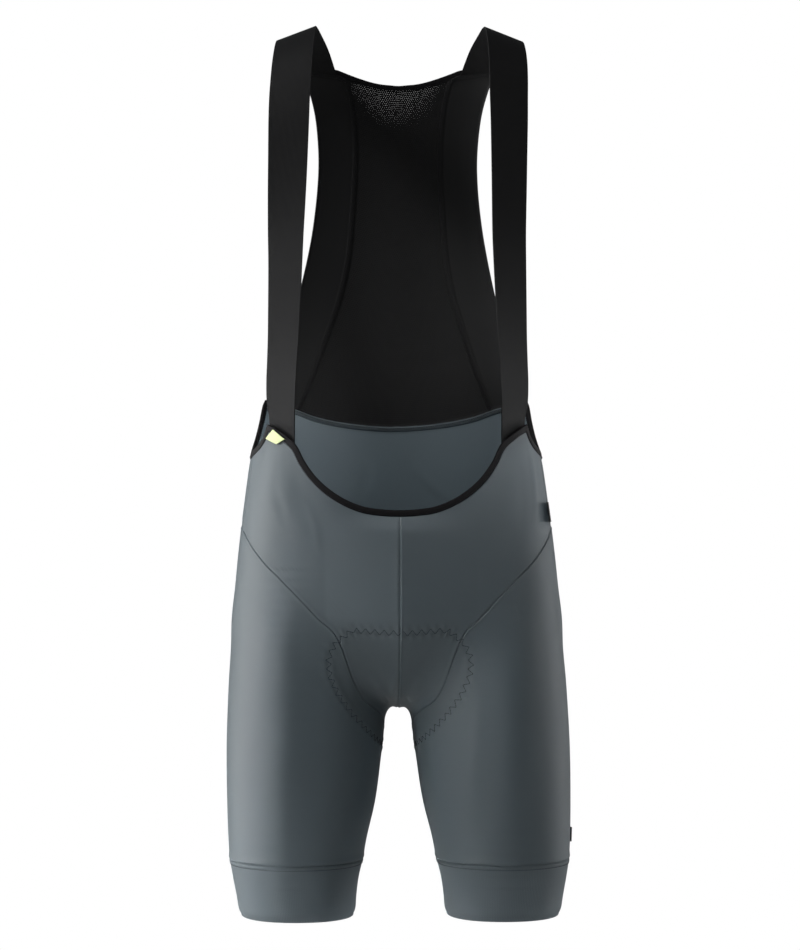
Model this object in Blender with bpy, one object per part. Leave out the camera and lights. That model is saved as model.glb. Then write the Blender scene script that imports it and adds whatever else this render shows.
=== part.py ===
"""Cycling bib shorts, filled out as worn: a bare hollow garment on a general figure.

Metres, +Z up, +X to the wearer's left and -Y to the front. The origin lies midway between the
crests of the two shoulder straps, where the wearer holds the garment up.

Every panel is a wall on one shared body surface. Neighbours share the points of their seam,
and each is pulled back from it by half of SEAM_GAP.
"""

import math

import bmesh
import bpy
import numpy as np
from mathutils.bvhtree import BVHTree

# Cloth, metres
CLOTH = 0.0012  # grey warp knit
GRIPPER = 0.0016  # doubled leg band
MESH = 0.0010
STRAP = 0.0014  # wide elastic
BINDING_OUT = 0.0006  # how far a binding stands proud of the cloth
BINDING_IN = 0.0018  # and how far its fold reaches inside
TAG = 0.0010
TAG_LIFT = 0.0006  # gap between a tag and the cloth under it
LABEL_LIFT = 0.0010  # the waist label clears the binding too
SEAM_GAP = 0.0003

# Levels and widths, metres
GRIPPER_SEAM_Z = -0.8695
HEM_Z = -0.9290
CROTCH_SEAM_Z = -0.7330  # where the leg seam crosses the inner thigh
WAIST_BINDING_WIDTH = 0.0070
NECK_BINDING_WIDTH = 0.0050
STRAP_TURN_IN = 0.0090  # how far the foot of a strap reaches below the middle of the binding
STRAP_RISE = 0.0080  # and how far above it the strap stays behind it
PAD_CLEAR = 0.0012
PAD_EDGE = 0.0016
PAD_CROWN = 0.75  # how round the pad is across: 0 is flat to its edges, 1 a parabola

# Grid steps of the panels
MESH_HALF_STEPS = 6
SIDE_BACK_STEPS = 5
BACK_HEIGHT_STEPS = 15
SIDE_SEAM_STEPS = 3
LEG_SEAM_STEPS = 16  # on the front, and again on the back
LEG_HEIGHT_STEPS = 11
GRIPPER_HEIGHT_STEPS = 3
STRAP_STEP = 0.032  # longest step along a strap
PAD_LENGTH_STEPS = 22
PAD_HALF_STEPS = 9
FRONT_ROUNDS = 1  # the front grid is evened out only a little: its seam bends inwards
BACK_ROUNDS = 12

SQUARENESS = 2.2  # exponent of a body section: 2 is an ellipse
SEAT_LEVEL = -0.600  # below it the trunk closes in a dome
SEAT_DEPTH = 0.1080
THIGH_TOP = -0.640  # above it a thigh closes in a dome inside the trunk
THIGH_RISE = 0.100
CROTCH_BLEND = 0.022
THIGH_BLEND = 0.012
NEAREST, FARTHEST = 0.002, 0.260  # how far a ray may run from inside the body to its surface
SHARPEST_MITRE = 0.6
FOLD_SIDE = 0.2  # a fold shows where the surface turns at least this much towards it


class Table:
    """Rows of named columns, read by a smooth curve along the first one."""

    def __init__(self, columns, rows):
        self.names = columns.split()
        self.rows = np.array(sorted(rows), float)

    def read(self, name, at):
        return smooth(self.rows[:, 0], self.rows[:, self.names.index(name)], at)


def smooth(knots, values, at):
    """A cubic through the values at the knots, level beyond the ends."""
    slopes = np.gradient(values, knots)
    i = np.clip(np.searchsorted(knots, at) - 1, 0, len(knots) - 2)
    step = knots[i + 1] - knots[i]
    t = np.clip((at - knots[i]) / step, 0, 1)
    rise = step * (t * (1 - t) ** 2 * slopes[i] + t * t * (t - 1) * slopes[i + 1])
    return (1 + 2 * t) * (1 - t) ** 2 * values[i] + t * t * (3 - 2 * t) * values[i + 1] + rise


TRUNK = Table(
    "z half_width front back",
    [
        (0.000, 0.150, 0.060, 0.066),
        (-0.030, 0.155, 0.075, 0.092),
        (-0.060, 0.160, 0.088, 0.108),
        (-0.100, 0.163, 0.100, 0.119),
        (-0.150, 0.165, 0.108, 0.126),
        (-0.200, 0.163, 0.112, 0.127),
        (-0.260, 0.157, 0.112, 0.121),
        (-0.320, 0.150, 0.110, 0.112),
        (-0.380, 0.1455, 0.107, 0.104),
        (-0.420, 0.1475, 0.106, 0.102),
        (-0.453, 0.1530, 0.106, 0.104),
        (-0.495, 0.1590, 0.107, 0.110),
        (-0.537, 0.1645, 0.107, 0.119),
        (-0.600, 0.1705, 0.104, 0.127),
        (-0.663, 0.1740, 0.097, 0.124),
        (-0.720, 0.1740, 0.088, 0.112),
    ],
)

THIGH = Table(
    "z centre_x half_width front back",
    [
        (-0.600, 0.0900, 0.0700, 0.080, 0.088),
        (-0.640, 0.0930, 0.0785, 0.088, 0.096),
        (-0.663, 0.0945, 0.0805, 0.090, 0.098),
        (-0.700, 0.0960, 0.0815, 0.091, 0.098),
        (-0.726, 0.0966, 0.0824, 0.090, 0.094),
        (-0.768, 0.0995, 0.0806, 0.088, 0.088),
        (-0.810, 0.1025, 0.0775, 0.083, 0.082),
        (-0.852, 0.1070, 0.0720, 0.077, 0.076),
        (-0.873, 0.1083, 0.0695, 0.0735, 0.0735),
        (-0.894, 0.1090, 0.0650, 0.0705, 0.0705),
        (-0.915, 0.1082, 0.0620, 0.0685, 0.0685),
        (-0.931, 0.1075, 0.0605, 0.0670, 0.0670),
    ],
)

# Edges and seams of the wearer's left half, as seen from the front or the back
WAIST_EDGE = Table(  # middle of the front binding, from the centre to the strap's outer corner
    "x z",
    [
        (0.0000, -0.5080),
        (0.0180, -0.5072),
        (0.0360, -0.5045),
        (0.0540, -0.4978),
        (0.0710, -0.4875),
        (0.0865, -0.4735),
        (0.0985, -0.4570),
        (0.1075, -0.4400),
        (0.1190, -0.4300),
        (0.1270, -0.4245),
        (0.1335, -0.4208),
    ],
)
WAIST_SIDE_EDGE = Table(  # the binding's middle goes on round the side, as seen from there
    "y z",
    [
        (-0.0470, -0.4310),
        (-0.0420, -0.4375),
        (-0.0340, -0.4425),
        (-0.0240, -0.4455),
        (-0.0060, -0.4480),
        (0.0080, -0.4430),
        (0.0180, -0.4320),
        (0.0255, -0.4165),
    ],
)
SIDE_SEAM_Y = -0.0240  # the front and back panels meet here
LEG_SEAM_SIDE = Table(  # the leg panel's top over the hip, as seen from the side
    "y z",
    [(-0.0240, -0.5265), (-0.0080, -0.5230), (0.0100, -0.5225), (0.0280, -0.5285)],
)
BACK_WAIST_SEAM = Table(
    "x z",
    [
        (0.0000, -0.4195),
        (0.0410, -0.4150),
        (0.0705, -0.4105),
        (0.0940, -0.4045),
        (0.1100, -0.3985),
        (0.1400, -0.3950),
    ],
)
LEG_SEAM_FRONT = Table(  # from the crotch to the hip
    "x z",
    [
        (0.0250, -0.7095),
        (0.0330, -0.7036),
        (0.0405, -0.6940),
        (0.0464, -0.6818),
        (0.0520, -0.6668),
        (0.0580, -0.6485),
        (0.0641, -0.6340),
        (0.0790, -0.6190),
        (0.0992, -0.5975),
        (0.1218, -0.5745),
        (0.1450, -0.5510),
        (0.1560, -0.5350),
    ],
)
LEG_SEAM_BACK = Table(
    "x z",
    [
        (0.0300, -0.7140),
        (0.0480, -0.7010),
        (0.0680, -0.6830),
        (0.0880, -0.6600),
        (0.1080, -0.6330),
        (0.1290, -0.5980),
        (0.1450, -0.5660),
        (0.1550, -0.5400),
    ],
)
MESH_SEAM = Table(
    "z x",
    [
        (-0.0380, 0.0560),
        (-0.0740, 0.0500),
        (-0.1073, 0.0472),
        (-0.1462, 0.0478),
        (-0.1870, 0.0504),
        (-0.2333, 0.0545),
        (-0.2744, 0.0625),
        (-0.3200, 0.0770),
        (-0.3590, 0.0900),
        (-0.4000, 0.1065),
    ],
)
ARMHOLE_EDGE = Table(
    "z x",
    [
        (-0.0340, 0.1050),
        (-0.0520, 0.0980),
        (-0.0785, 0.0909),
        (-0.1095, 0.0874),
        (-0.1345, 0.0866),
        (-0.1695, 0.0888),
        (-0.2012, 0.0925),
        (-0.2630, 0.1040),
        (-0.3200, 0.1180),
        (-0.3600, 0.1305),
        (-0.3950, 0.1400),
    ],
)
NECKLINE = Table(  # top edge of the neck binding
    "x z",
    [(0.0000, -0.0465), (0.0228, -0.0444), (0.0455, -0.0385), (0.0650, -0.0320)],
)
STRAP_EDGES = Table(  # the front strap from the chest over the shoulder to the back
    "step inner_x inner_y inner_z outer_x outer_y outer_z",
    [
        (0, 0.1050, -0.0880, -0.400, 0.1335, -0.0565, -0.394),
        (1, 0.1010, -0.0985, -0.330, 0.1320, -0.0720, -0.330),
        (2, 0.0968, -0.1030, -0.250, 0.1310, -0.0820, -0.250),
        (3, 0.0937, -0.0990, -0.150, 0.1313, -0.0840, -0.152),
        (4, 0.0920, -0.0830, -0.080, 0.1320, -0.0700, -0.084),
        (5, 0.0905, -0.0610, -0.033, 0.1312, -0.0530, -0.044),
        (6, 0.0885, -0.0330, -0.007, 0.1290, -0.0300, -0.022),
        (7, 0.0870, -0.0010, 0.000, 0.1265, 0.0000, -0.015),
        (8, 0.0825, 0.0310, -0.004, 0.1210, 0.0280, -0.017),
        (9, 0.0755, 0.0590, -0.015, 0.1135, 0.0520, -0.024),
    ],
)
PAD = Table(  # along the pad, from its front end to its back end; widths run over the surface
    "along half_width thickness",
    [
        (0.00, 0.048, 0.0020),
        (0.04, 0.064, 0.0028),
        (0.09, 0.073, 0.0040),
        (0.14, 0.073, 0.0050),
        (0.20, 0.066, 0.0055),
        (0.28, 0.056, 0.0055),
        (0.36, 0.050, 0.0060),
        (0.45, 0.049, 0.0070),
        (0.56, 0.058, 0.0085),
        (0.72, 0.085, 0.0095),
        (0.86, 0.092, 0.0080),
        (0.95, 0.080, 0.0045),
        (1.00, 0.062, 0.0020),
    ],
)
PAD_PROBE = 0.006
PAD_CARRIERS = ("front_panel_left", "front_panel_right", "back_panel", "leg_panel_left", "leg_panel_right")
PAD_FRONT_Z = -0.6270
PAD_BACK_Z = -0.5950
MESH_NECK_X = 0.0555  # where the mesh seam meets the neckline
MESH_WAIST_X = 0.1055  # and the back waist seam
STRAP_INNER_ROW, STRAP_OUTER_ROW = 7, 10  # rows of WAIST_EDGE that the strap's foot reaches
STRAP_FOOT_OUT = 0.0005
STRAP_BEHIND = 0.0035  # depth of the strap's foot behind the cloth's outer face
STRAP_BOW_LENGTH = 0.060  # over this length the strap flattens out from the back's curve
LABEL = {"outer": (0.1288, -0.4226), "inner": (0.1173, -0.4324), "drop_x": 0.0079, "drop_z": -0.0066}
HIP_TAB = {"top": -0.4975, "bottom": -0.5180, "toward": 1, "reach": 0.018, "stand": 0.0020}
LEG_TAG = {"top": -0.8400, "bottom": -0.8550, "toward": 1, "reach": 0.006, "stand": 0.0012, "angle": -0.16}

FOLDS = [  # soft troughs: ends on the front or back (x, z), depth and half-width
    {"facing": -1, "start": (-0.111, -0.462), "end": (-0.080, -0.528), "depth": 0.0020, "width": 0.016},
    {"facing": 1, "start": (0.030, -0.700), "end": (0.130, -0.722), "depth": 0.0022, "width": 0.014},
    {"facing": 1, "start": (-0.034, -0.702), "end": (-0.138, -0.716), "depth": 0.0020, "width": 0.015},
]


# ---- the body surface ----


def radial(x, y, over, depth, section):
    """How far a point lies outside a section, along the ray from the section's middle."""
    half_width, front, back = section
    terms = (np.abs(x) / half_width, np.abs(y) / np.where(y < 0, front, back), over / depth)
    share = sum(term**SQUARENESS for term in terms) ** (1 / SQUARENESS)
    reach = np.sqrt(x * x + y * y + over * over)
    return reach * (1 - 1 / np.maximum(share, 1e-6))


def blend(a, b, width):
    """The nearer of two surfaces, rounded over the width where they meet."""
    mix = np.clip(0.5 + 0.5 * (b - a) / width, 0, 1)
    return b * (1 - mix) + a * mix - width * mix * (1 - mix)


def body(points):
    """Negative inside the cloth, zero on its outer face."""
    x, y, z = np.moveaxis(points, -1, 0)
    section = [TRUNK.read(name, z) for name in ("half_width", "front", "back")]
    trunk = radial(x, y, np.maximum(SEAT_LEVEL - z, 0), SEAT_DEPTH, section)
    section = [THIGH.read(name, z) for name in ("half_width", "front", "back")]
    over = np.maximum(z - THIGH_TOP, 0)
    left, right = (
        radial(x - side * THIGH.read("centre_x", z), y, over, THIGH_RISE, section) for side in (1, -1)
    )
    return blend(trunk, blend(left, right, THIGH_BLEND), CROTCH_BLEND)


def slope(points):
    step = 1e-5
    shifts = np.eye(3) * step
    return np.stack([(body(points + s) - body(points - s)) / (2 * step) for s in shifts], -1)


def normals_of(points):
    found = slope(points)
    return found / np.linalg.norm(found, axis=-1, keepdims=True)


def settle(points):
    """Moves points along the surface's own slope until they lie on it."""
    for _ in range(12):
        down = slope(points)
        points = points - down * (body(points) / (down**2).sum(-1))[..., None]
    return points


def cast(starts, directions):
    """Where rays from inside the body first leave it."""
    starts, directions = np.broadcast_arrays(np.array(starts, float), np.array(directions, float))
    reaches = np.linspace(NEAREST, FARTHEST, 130)
    field = body(starts[..., None, :] + reaches[:, None] * directions[..., None, :])
    first = np.argmax(field > 0, axis=-1)
    low, high = reaches[np.maximum(first - 1, 0)], reaches[first]
    for _ in range(30):
        middle = (low + high) / 2
        outside = body(starts + middle[..., None] * directions) > 0
        low, high = np.where(outside, low, middle), np.where(outside, middle, high)
    return starts + low[..., None] * directions


def facing(x, z, toward):
    """Points on the front (toward -1) or the back (+1), by their place in that view."""
    x, z = np.broadcast_arrays(np.array(x, float), np.array(z, float))
    return cast(np.stack([x, np.zeros_like(x), z], -1), (0, toward, 0))


def on_side(y, z):
    """Points on the wearer's left side, by their place as seen from there."""
    y, z = np.broadcast_arrays(np.array(y, float), np.array(z, float))
    return cast(np.stack([np.zeros_like(z), y, z], -1), (1, 0, 0))


def thigh_angle(points):
    """Angle round the left thigh: 0 outwards, quarter turns to the front, the inside and the back."""
    across = points[..., 0] - THIGH.read("centre_x", points[..., 2])
    return np.arctan2(-points[..., 1], across) % (2 * math.pi)


def on_thigh(angle, z):
    angle, z = np.broadcast_arrays(angle, z)
    starts = np.stack([THIGH.read("centre_x", z), np.zeros_like(z), z], -1)
    return cast(starts, np.stack([np.cos(angle), -np.sin(angle), np.zeros_like(z)], -1))


def add_folds(points, normals):
    """Presses the soft troughs into points on the surface."""
    for fold in FOLDS:
        start, end = np.array(fold["start"]), np.array(fold["end"])
        along = end - start
        flat = points[..., [0, 2]] - start
        t = np.clip(flat @ along / (along @ along), 0, 1)
        away = np.linalg.norm(flat - t[..., None] * along, axis=-1) / fold["width"]
        ends = np.sin(math.pi * np.clip(t, 0.02, 0.98)) ** 0.5
        press = fold["depth"] * ends * np.exp(-(away**2)) * (normals[..., 1] * fold["facing"] > FOLD_SIDE)
        points = points - normals * press[..., None]
    return points


# ---- lines ----


def lengths(line):
    steps = np.linalg.norm(np.diff(line, axis=0), axis=1)
    return np.concatenate([[0], np.cumsum(steps)])


def spread(line, shares):
    """Points of a polyline at these shares of its length."""
    run = lengths(line)
    return np.stack([np.interp(np.array(shares) * run[-1], run, line[:, k]) for k in range(3)], -1)


def even(line, steps):
    return spread(line, np.linspace(0, 1, steps + 1))


def shares_of(line):
    run = lengths(line)
    return run / run[-1]


def unit(vectors):
    return vectors / np.linalg.norm(vectors, axis=-1, keepdims=True)


def seat_line(top_z, toward):
    """The middle line from a height on the front or back down to the crotch's lowest point."""
    level = np.linspace(top_z, SEAT_LEVEL, 40)
    straight = facing(0 * level, level, toward)
    fan = np.linspace(0, math.pi / 2, 60)[1:]
    under = cast((0, 0, SEAT_LEVEL), np.stack([0 * fan, toward * np.cos(fan), -np.sin(fan)], -1))
    return np.concatenate([straight, under])


def leg_seam(table, toward):
    """From the hip, over the front or the back, to the inner thigh."""
    x, z = table.rows.T
    fine = np.linspace(x[-1], x[0], 80)
    middle = facing(fine, smooth(x, z, fine), toward)
    last = middle[-1]
    turn = np.linspace(thigh_angle(last), math.pi, 12)[1:]
    under = on_thigh(turn, np.linspace(last[2], CROTCH_SEAM_Z, 12)[1:])
    side_y, side_z = LEG_SEAM_SIDE.rows[:: toward].T
    ahead = (side_y - SIDE_SEAM_Y) * toward >= 0
    line = np.concatenate([on_side(side_y[ahead], side_z[ahead]), middle, under])
    return settle(even(settle(even(line, 60)), LEG_SEAM_STEPS))


def beside(line, by):
    """The line moved over the surface, to the left of its run as seen from outside."""
    ahead = unit(np.diff(line, axis=0))
    before, after = np.concatenate([ahead[:1], ahead]), np.concatenate([ahead, ahead[-1:]])
    across = unit(np.cross(normals_of(line), before + after))
    mitre = np.sqrt((1 + (before * after).sum(-1, keepdims=True)) / 2)
    return settle(line + across * by / np.maximum(mitre, SHARPEST_MITRE))


# ---- grids and walls ----


def patch(top, bottom, left, right):
    """A grid between four lines that share their corners: rows run down, columns left to right."""
    u = shares_of(top)[None, :, None]
    v = shares_of(right)[:, None, None]
    sides = (1 - u) * left[:, None] + u * right[:, None]
    ends = (1 - v) * top[None] + v * bottom[None]
    corners = (1 - v) * ((1 - u) * top[0] + u * top[-1]) + v * ((1 - u) * bottom[0] + u * bottom[-1])
    return settle(sides + ends - corners)


def relax(grid, rounds):
    """Evens out the inside of a grid on the surface."""
    for _ in range(rounds):
        around = grid[:-2, 1:-1] + grid[2:, 1:-1] + grid[1:-1, :-2] + grid[1:-1, 2:]
        grid = grid.copy()
        grid[1:-1, 1:-1] = around / 4
        grid[1:-1, 1:-1] = settle(grid[1:-1, 1:-1])
    return grid


def pull_back(grid, edges):
    """Draws the named edges of a grid back from their seams, square to the seam."""
    grid = grid.copy()
    views = {"top": grid, "bottom": grid[::-1], "left": grid.swapaxes(0, 1)}
    views["right"] = grid[:, ::-1].swapaxes(0, 1)
    for edge in edges.split():
        view = views[edge]
        along = unit(np.gradient(view[0], axis=0))
        inwards = view[1] - view[0]
        inwards = unit(inwards - (inwards * along).sum(-1, keepdims=True) * along)
        view[0] += inwards * SEAM_GAP / 2
    return grid


def mirrored(grid):
    """The same piece on the wearer's right."""
    return grid * (-1, 1, 1)


def across_the_back(half):
    """A grid from the middle to the wearer's left, made whole from right to left."""
    return np.concatenate([mirrored(half)[:, :0:-1], half], axis=1)


def wall(name, finish, outer, inner, ring=False):
    """A closed wall between two grids of points. With ring, the last column joins the first."""
    rows, columns = outer.shape[:2]
    count = rows * columns

    def at(layer, row, column):
        return layer * count + row * columns + column % columns

    faces = []
    last_row, last_column = rows - 1, columns - 1
    for j in range(columns if ring else last_column):
        for i in range(last_row):
            for layer in (0, 1):
                left, right = ([at(layer, i, k), at(layer, i + 1, k)] for k in (j, j + 1))
                faces.append(left + right[::-1])
        for i in (0, last_row):
            faces.append([at(0, i, j), at(0, i, j + 1), at(1, i, j + 1), at(1, i, j)])
    for i in range(0 if ring else last_row):
        for j in (0, last_column):
            faces.append([at(0, i + 1, j), at(0, i, j), at(1, i, j), at(1, i + 1, j)])

    mesh = bpy.data.meshes.new(name)
    mesh.from_pydata(np.concatenate([outer.reshape(-1, 3), inner.reshape(-1, 3)]).tolist(), [], faces)
    shape = bmesh.new()
    shape.from_mesh(mesh)
    bmesh.ops.triangulate(shape, faces=shape.faces, quad_method="SHORT_EDGE")
    bmesh.ops.recalc_face_normals(shape, faces=shape.faces)
    shape.to_mesh(mesh)
    shape.free()
    mesh.shade_smooth()
    mesh.set_sharp_from_angle(angle=math.radians(50))
    mesh.materials.append(finish)
    garment.objects.link(bpy.data.objects.new(name, mesh))


def panel(name, finish, grid, normals, out, inside, ring=False):
    """A wall that reaches out and inside of its grid by these distances."""
    grid = add_folds(grid, normals)
    wall(name, finish, grid + normals * out, grid - normals * inside, ring)


def both_sides(name, finish, grid, normals, out, inside, ring=False):
    panel(name + "_left", finish, grid, normals, out, inside, ring)
    panel(name + "_right", finish, mirrored(grid), mirrored(normals), out, inside, ring)


def material(name, colour, roughness):
    made = bpy.data.materials.new(name)
    made.use_nodes = True
    shader = made.node_tree.nodes["Principled BSDF"]
    shader.inputs["Base Color"].default_value = (*colour, 1)
    shader.inputs["Roughness"].default_value = roughness
    shader.inputs["Metallic"].default_value = 0
    return made


# ---- the lines that pieces share ----


class Lines:
    """Seams and edges of the left half, each worked out once."""

    def __init__(self):
        front, round_side = facing(*WAIST_EDGE.rows.T, -1), on_side(*WAIST_SIDE_EDGE.rows.T)
        back = facing(*BACK_WAIST_SEAM.rows[-1:].T, 1)
        self.waist_middle = np.concatenate([front, round_side, back])
        # the waist line runs on across the centre, so that its edges meet there
        whole = np.concatenate([mirrored(self.waist_middle)[:0:-1], self.waist_middle])
        half = len(self.waist_middle) - 1
        self.waist_top = beside(whole, WAIST_BINDING_WIDTH / 2)
        self.waist_low = beside(whole, -WAIST_BINDING_WIDTH / 2)
        low = self.waist_low[half:]
        dip = len(front) + list(WAIST_SIDE_EDGE.rows[:, 0]).index(SIDE_SEAM_Y)
        self.front_edge, self.back_edge = low[: dip + 1], low[dip:]
        hip = on_side(SIDE_SEAM_Y, LEG_SEAM_SIDE.read("z", SIDE_SEAM_Y))
        self.side_seam = settle(even(np.array([low[dip], hip]), SIDE_SEAM_STEPS))
        self.leg_front = leg_seam(LEG_SEAM_FRONT, -1)
        self.leg_back = leg_seam(LEG_SEAM_BACK, 1)

        x = np.linspace(0, MESH_WAIST_X, MESH_HALF_STEPS + 1)
        corner = low[-1]
        x = np.concatenate([x, np.linspace(MESH_WAIST_X, corner[0], SIDE_BACK_STEPS + 1)[1:-1]])
        seam = facing(x, smooth(*BACK_WAIST_SEAM.rows.T, x), 1)
        self.back_waist = np.concatenate([seam, [corner]])

        x = np.linspace(0, MESH_NECK_X, MESH_HALF_STEPS + 1)
        x = np.append(x, NECKLINE.rows[-1, 0])
        half_neck = facing(x, smooth(*NECKLINE.rows.T, x), 1)
        self.neck_top = np.concatenate([mirrored(half_neck)[:0:-1], half_neck])
        self.neck_low = beside(self.neck_top, NECK_BINDING_WIDTH)
        low = self.neck_low[len(half_neck) - 1 :]
        self.mesh_top = low[: MESH_HALF_STEPS + 1]

        end = self.back_waist[MESH_HALF_STEPS]
        z = np.linspace(self.mesh_top[-1][2], end[2], 60)[1:-1]
        seam = facing(smooth(*MESH_SEAM.rows.T, z), z, 1)
        self.mesh_seam = settle(even(np.array([self.mesh_top[-1], *seam, end]), BACK_HEIGHT_STEPS))

        z = np.linspace(ARMHOLE_EDGE.rows[-1, 0], corner[2], 60)[:-1]
        edge = facing(smooth(*ARMHOLE_EDGE.rows.T, z), z, 1)
        self.armhole = settle(even(np.array([*edge, corner]), BACK_HEIGHT_STEPS))
        self.strap_seam = settle(even(np.array([low[-1], self.armhole[0]]), SIDE_BACK_STEPS - 1))


# ---- pieces ----


def build_shorts(lines):
    """Front panels, back panel, leg panels and their bands."""
    for toward in (-1, 1):
        if toward < 0:
            top, seam = lines.front_edge, np.concatenate([lines.side_seam, lines.leg_front[1:]])
        else:
            top, upper = lines.back_waist, lines.back_edge[::-1]
            seam = np.concatenate([upper, lines.side_seam[1:], lines.leg_back[1:]])
        middle = settle(spread(seat_line(top[0][2], toward), shares_of(seam)))
        under = settle(even(np.array([middle[-1], seam[-1]]), 30))
        grid = patch(top, settle(spread(under, shares_of(top))), middle, seam)
        if toward < 0:
            grid = relax(grid, FRONT_ROUNDS)
            edged = pull_back(grid, "top bottom left right")
            both_sides("front_panel", GREY, edged, normals_of(grid), 0, CLOTH)
        else:
            grid = relax(across_the_back(grid), BACK_ROUNDS)
            edged = pull_back(grid, "top bottom left right")
            panel("back_panel", GREY, edged, normals_of(grid), 0, CLOTH)

    top = np.concatenate([lines.leg_front[:-1], lines.leg_back[:0:-1]])
    turn = np.unwrap(thigh_angle(top))
    level = np.linspace(0, 2 * math.pi, len(top) + 1)[:-1]
    share = np.linspace(0, 1, LEG_HEIGHT_STEPS + 1)[:, None]
    leg = on_thigh(turn * (1 - share) + level * share, top[:, 2] * (1 - share) + GRIPPER_SEAM_Z * share)
    leg[0] = top
    both_sides("leg_panel", GREY, pull_back(leg, "top bottom"), normals_of(leg), 0, CLOTH, ring=True)

    z = np.linspace(GRIPPER_SEAM_Z, HEM_Z, GRIPPER_HEIGHT_STEPS + 1)[:, None]
    band = on_thigh(level, z)
    both_sides("leg_gripper", BAND, pull_back(band, "top"), normals_of(band), 0, GRIPPER, ring=True)


def build_back(lines):
    """The centre-back mesh and the side-back panels, from the neckline to the waist seam."""
    middle = np.array([lines.mesh_top[0], lines.back_waist[0]])
    middle = settle(spread(middle, shares_of(lines.mesh_seam)))
    grid = patch(lines.mesh_top, lines.back_waist[: MESH_HALF_STEPS + 1], middle, lines.mesh_seam)
    grid = relax(across_the_back(grid), BACK_ROUNDS)
    edged = pull_back(grid, "top bottom left right")
    panel("back_mesh_panel", OPEN_MESH, edged, normals_of(grid), 0, MESH)

    top = np.concatenate([lines.mesh_top[-1:], lines.strap_seam])
    grid = patch(top, lines.back_waist[MESH_HALF_STEPS:], lines.mesh_seam, lines.armhole)
    both_sides("side_back_panel", BLACK, pull_back(grid, "top bottom left"), normals_of(grid), 0, CLOTH)


def build_straps(lines):
    """Each strap runs from the back seam over the shoulder and ends behind the waist binding."""
    table = STRAP_EDGES.rows[::-1, 1:].reshape(-1, 2, 3)
    seam = lines.strap_seam
    feet = []
    for past in (-STRAP_RISE, STRAP_TURN_IN):
        inner, outer = lines.waist_middle[STRAP_INNER_ROW], lines.waist_middle[STRAP_OUTER_ROW]
        foot = facing([inner[0], outer[0] + STRAP_FOOT_OUT], [inner[2] - past, outer[2] - past], -1)
        feet.append(foot - normals_of(foot) * STRAP_BEHIND)
    knots = np.concatenate([[seam[[0, -1]]], table, feet])
    run = lengths(knots.mean(axis=1))
    steps = np.ceil(np.diff(run) / STRAP_STEP).astype(int)
    at = np.concatenate([np.linspace(a, b, n + 1)[:-1] for a, b, n in zip(run, run[1:], steps)])
    at = np.append(at, run[-1])
    edges = [np.stack([smooth(run, knots[:, side, k], at) for k in range(3)], -1) for side in (0, 1)]
    share = np.linspace(0, 1, len(seam))[None, :, None]
    grid = edges[0][:, None] * (1 - share) + edges[1][:, None] * share
    bow = seam - (seam[0] * (1 - share[0]) + seam[-1] * share[0])
    grid += bow * np.clip(1 - at / STRAP_BOW_LENGTH, 0, 1)[:, None, None]
    normals = unit(np.cross(np.gradient(grid, axis=1), np.gradient(grid, axis=0)))
    normals[0] = normals_of(seam)
    grid = pull_back(grid, "top")
    wall_pair = (grid, grid - normals * STRAP)
    for side, turn in (("left", 1), ("right", -1)):
        wall("strap_" + side, ELASTIC, *(layer * (turn, 1, 1) for layer in wall_pair))


def build_bindings(lines):
    """Folded edgings: one round the waist opening, one along the neckline."""
    grid = np.stack([lines.waist_top, lines.waist_low])
    normals = normals_of(grid)
    panel("waist_binding", EDGING, pull_back(grid, "bottom"), normals, BINDING_OUT, BINDING_IN)
    grid = np.stack([lines.neck_top, lines.neck_low])
    normals = normals_of(grid)
    panel("neck_binding", EDGING, pull_back(grid, "bottom"), normals, BINDING_OUT, BINDING_IN)


def room_outwards(points, normals, most):
    """How far each point inside the shorts can move outwards before it meets their cloth."""
    graph = bpy.context.evaluated_depsgraph_get()
    cloth = [BVHTree.FromObject(bpy.data.objects[name], graph) for name in PAD_CARRIERS]
    room = np.full(points.shape[:-1], most)
    for place in np.ndindex(room.shape):
        for panel_faces in cloth:
            distance = panel_faces.ray_cast(points[place], normals[place], most)[3]
            if distance is not None:
                room[place] = min(room[place], distance)
    return room


def build_pad():
    """The seat pad: thick under the seat, thin at its stitched edge, just inside the cloth."""
    front, back = seat_line(PAD_BACK_Z, -1), seat_line(PAD_BACK_Z, 1)[::-1]
    front = front[front[:, 2] < PAD_FRONT_Z]
    share = np.linspace(0, 1, PAD_LENGTH_STEPS + 1)
    line = settle(spread(np.concatenate([front, back[1:]]), share))
    run = unit(np.gradient(line, axis=0))
    fine = 6
    step = PAD.read("half_width", share)[:, None] / (PAD_HALF_STEPS * fine)
    columns, points = [line], line
    for k in range(PAD_HALF_STEPS * fine):
        points = points + unit(np.cross(normals_of(points), run)) * step
        for _ in range(4):
            down = slope(points)
            down -= (down * run).sum(-1, keepdims=True) * run
            points = points - down * (body(points) / (down**2).sum(-1))[:, None]
        if (k + 1) % fine == 0:
            columns.append(points)
    half = np.stack(columns, axis=1)
    across = np.linspace(0, 1, PAD_HALF_STEPS + 1)
    crown = PAD.read("thickness", share)[:, None] - PAD_EDGE
    thickness = PAD_EDGE + crown * (1 - across**2) ** PAD_CROWN
    normals = normals_of(half)
    start = half - normals * PAD_PROBE
    room = room_outwards(start, normals, PAD_PROBE - CLOTH)
    outer = start + normals * (room - PAD_CLEAR)[..., None]
    inner = outer - normals * thickness[..., None]
    wall("seat_pad", CHAMOIS, across_the_back(outer), across_the_back(inner))


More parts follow.
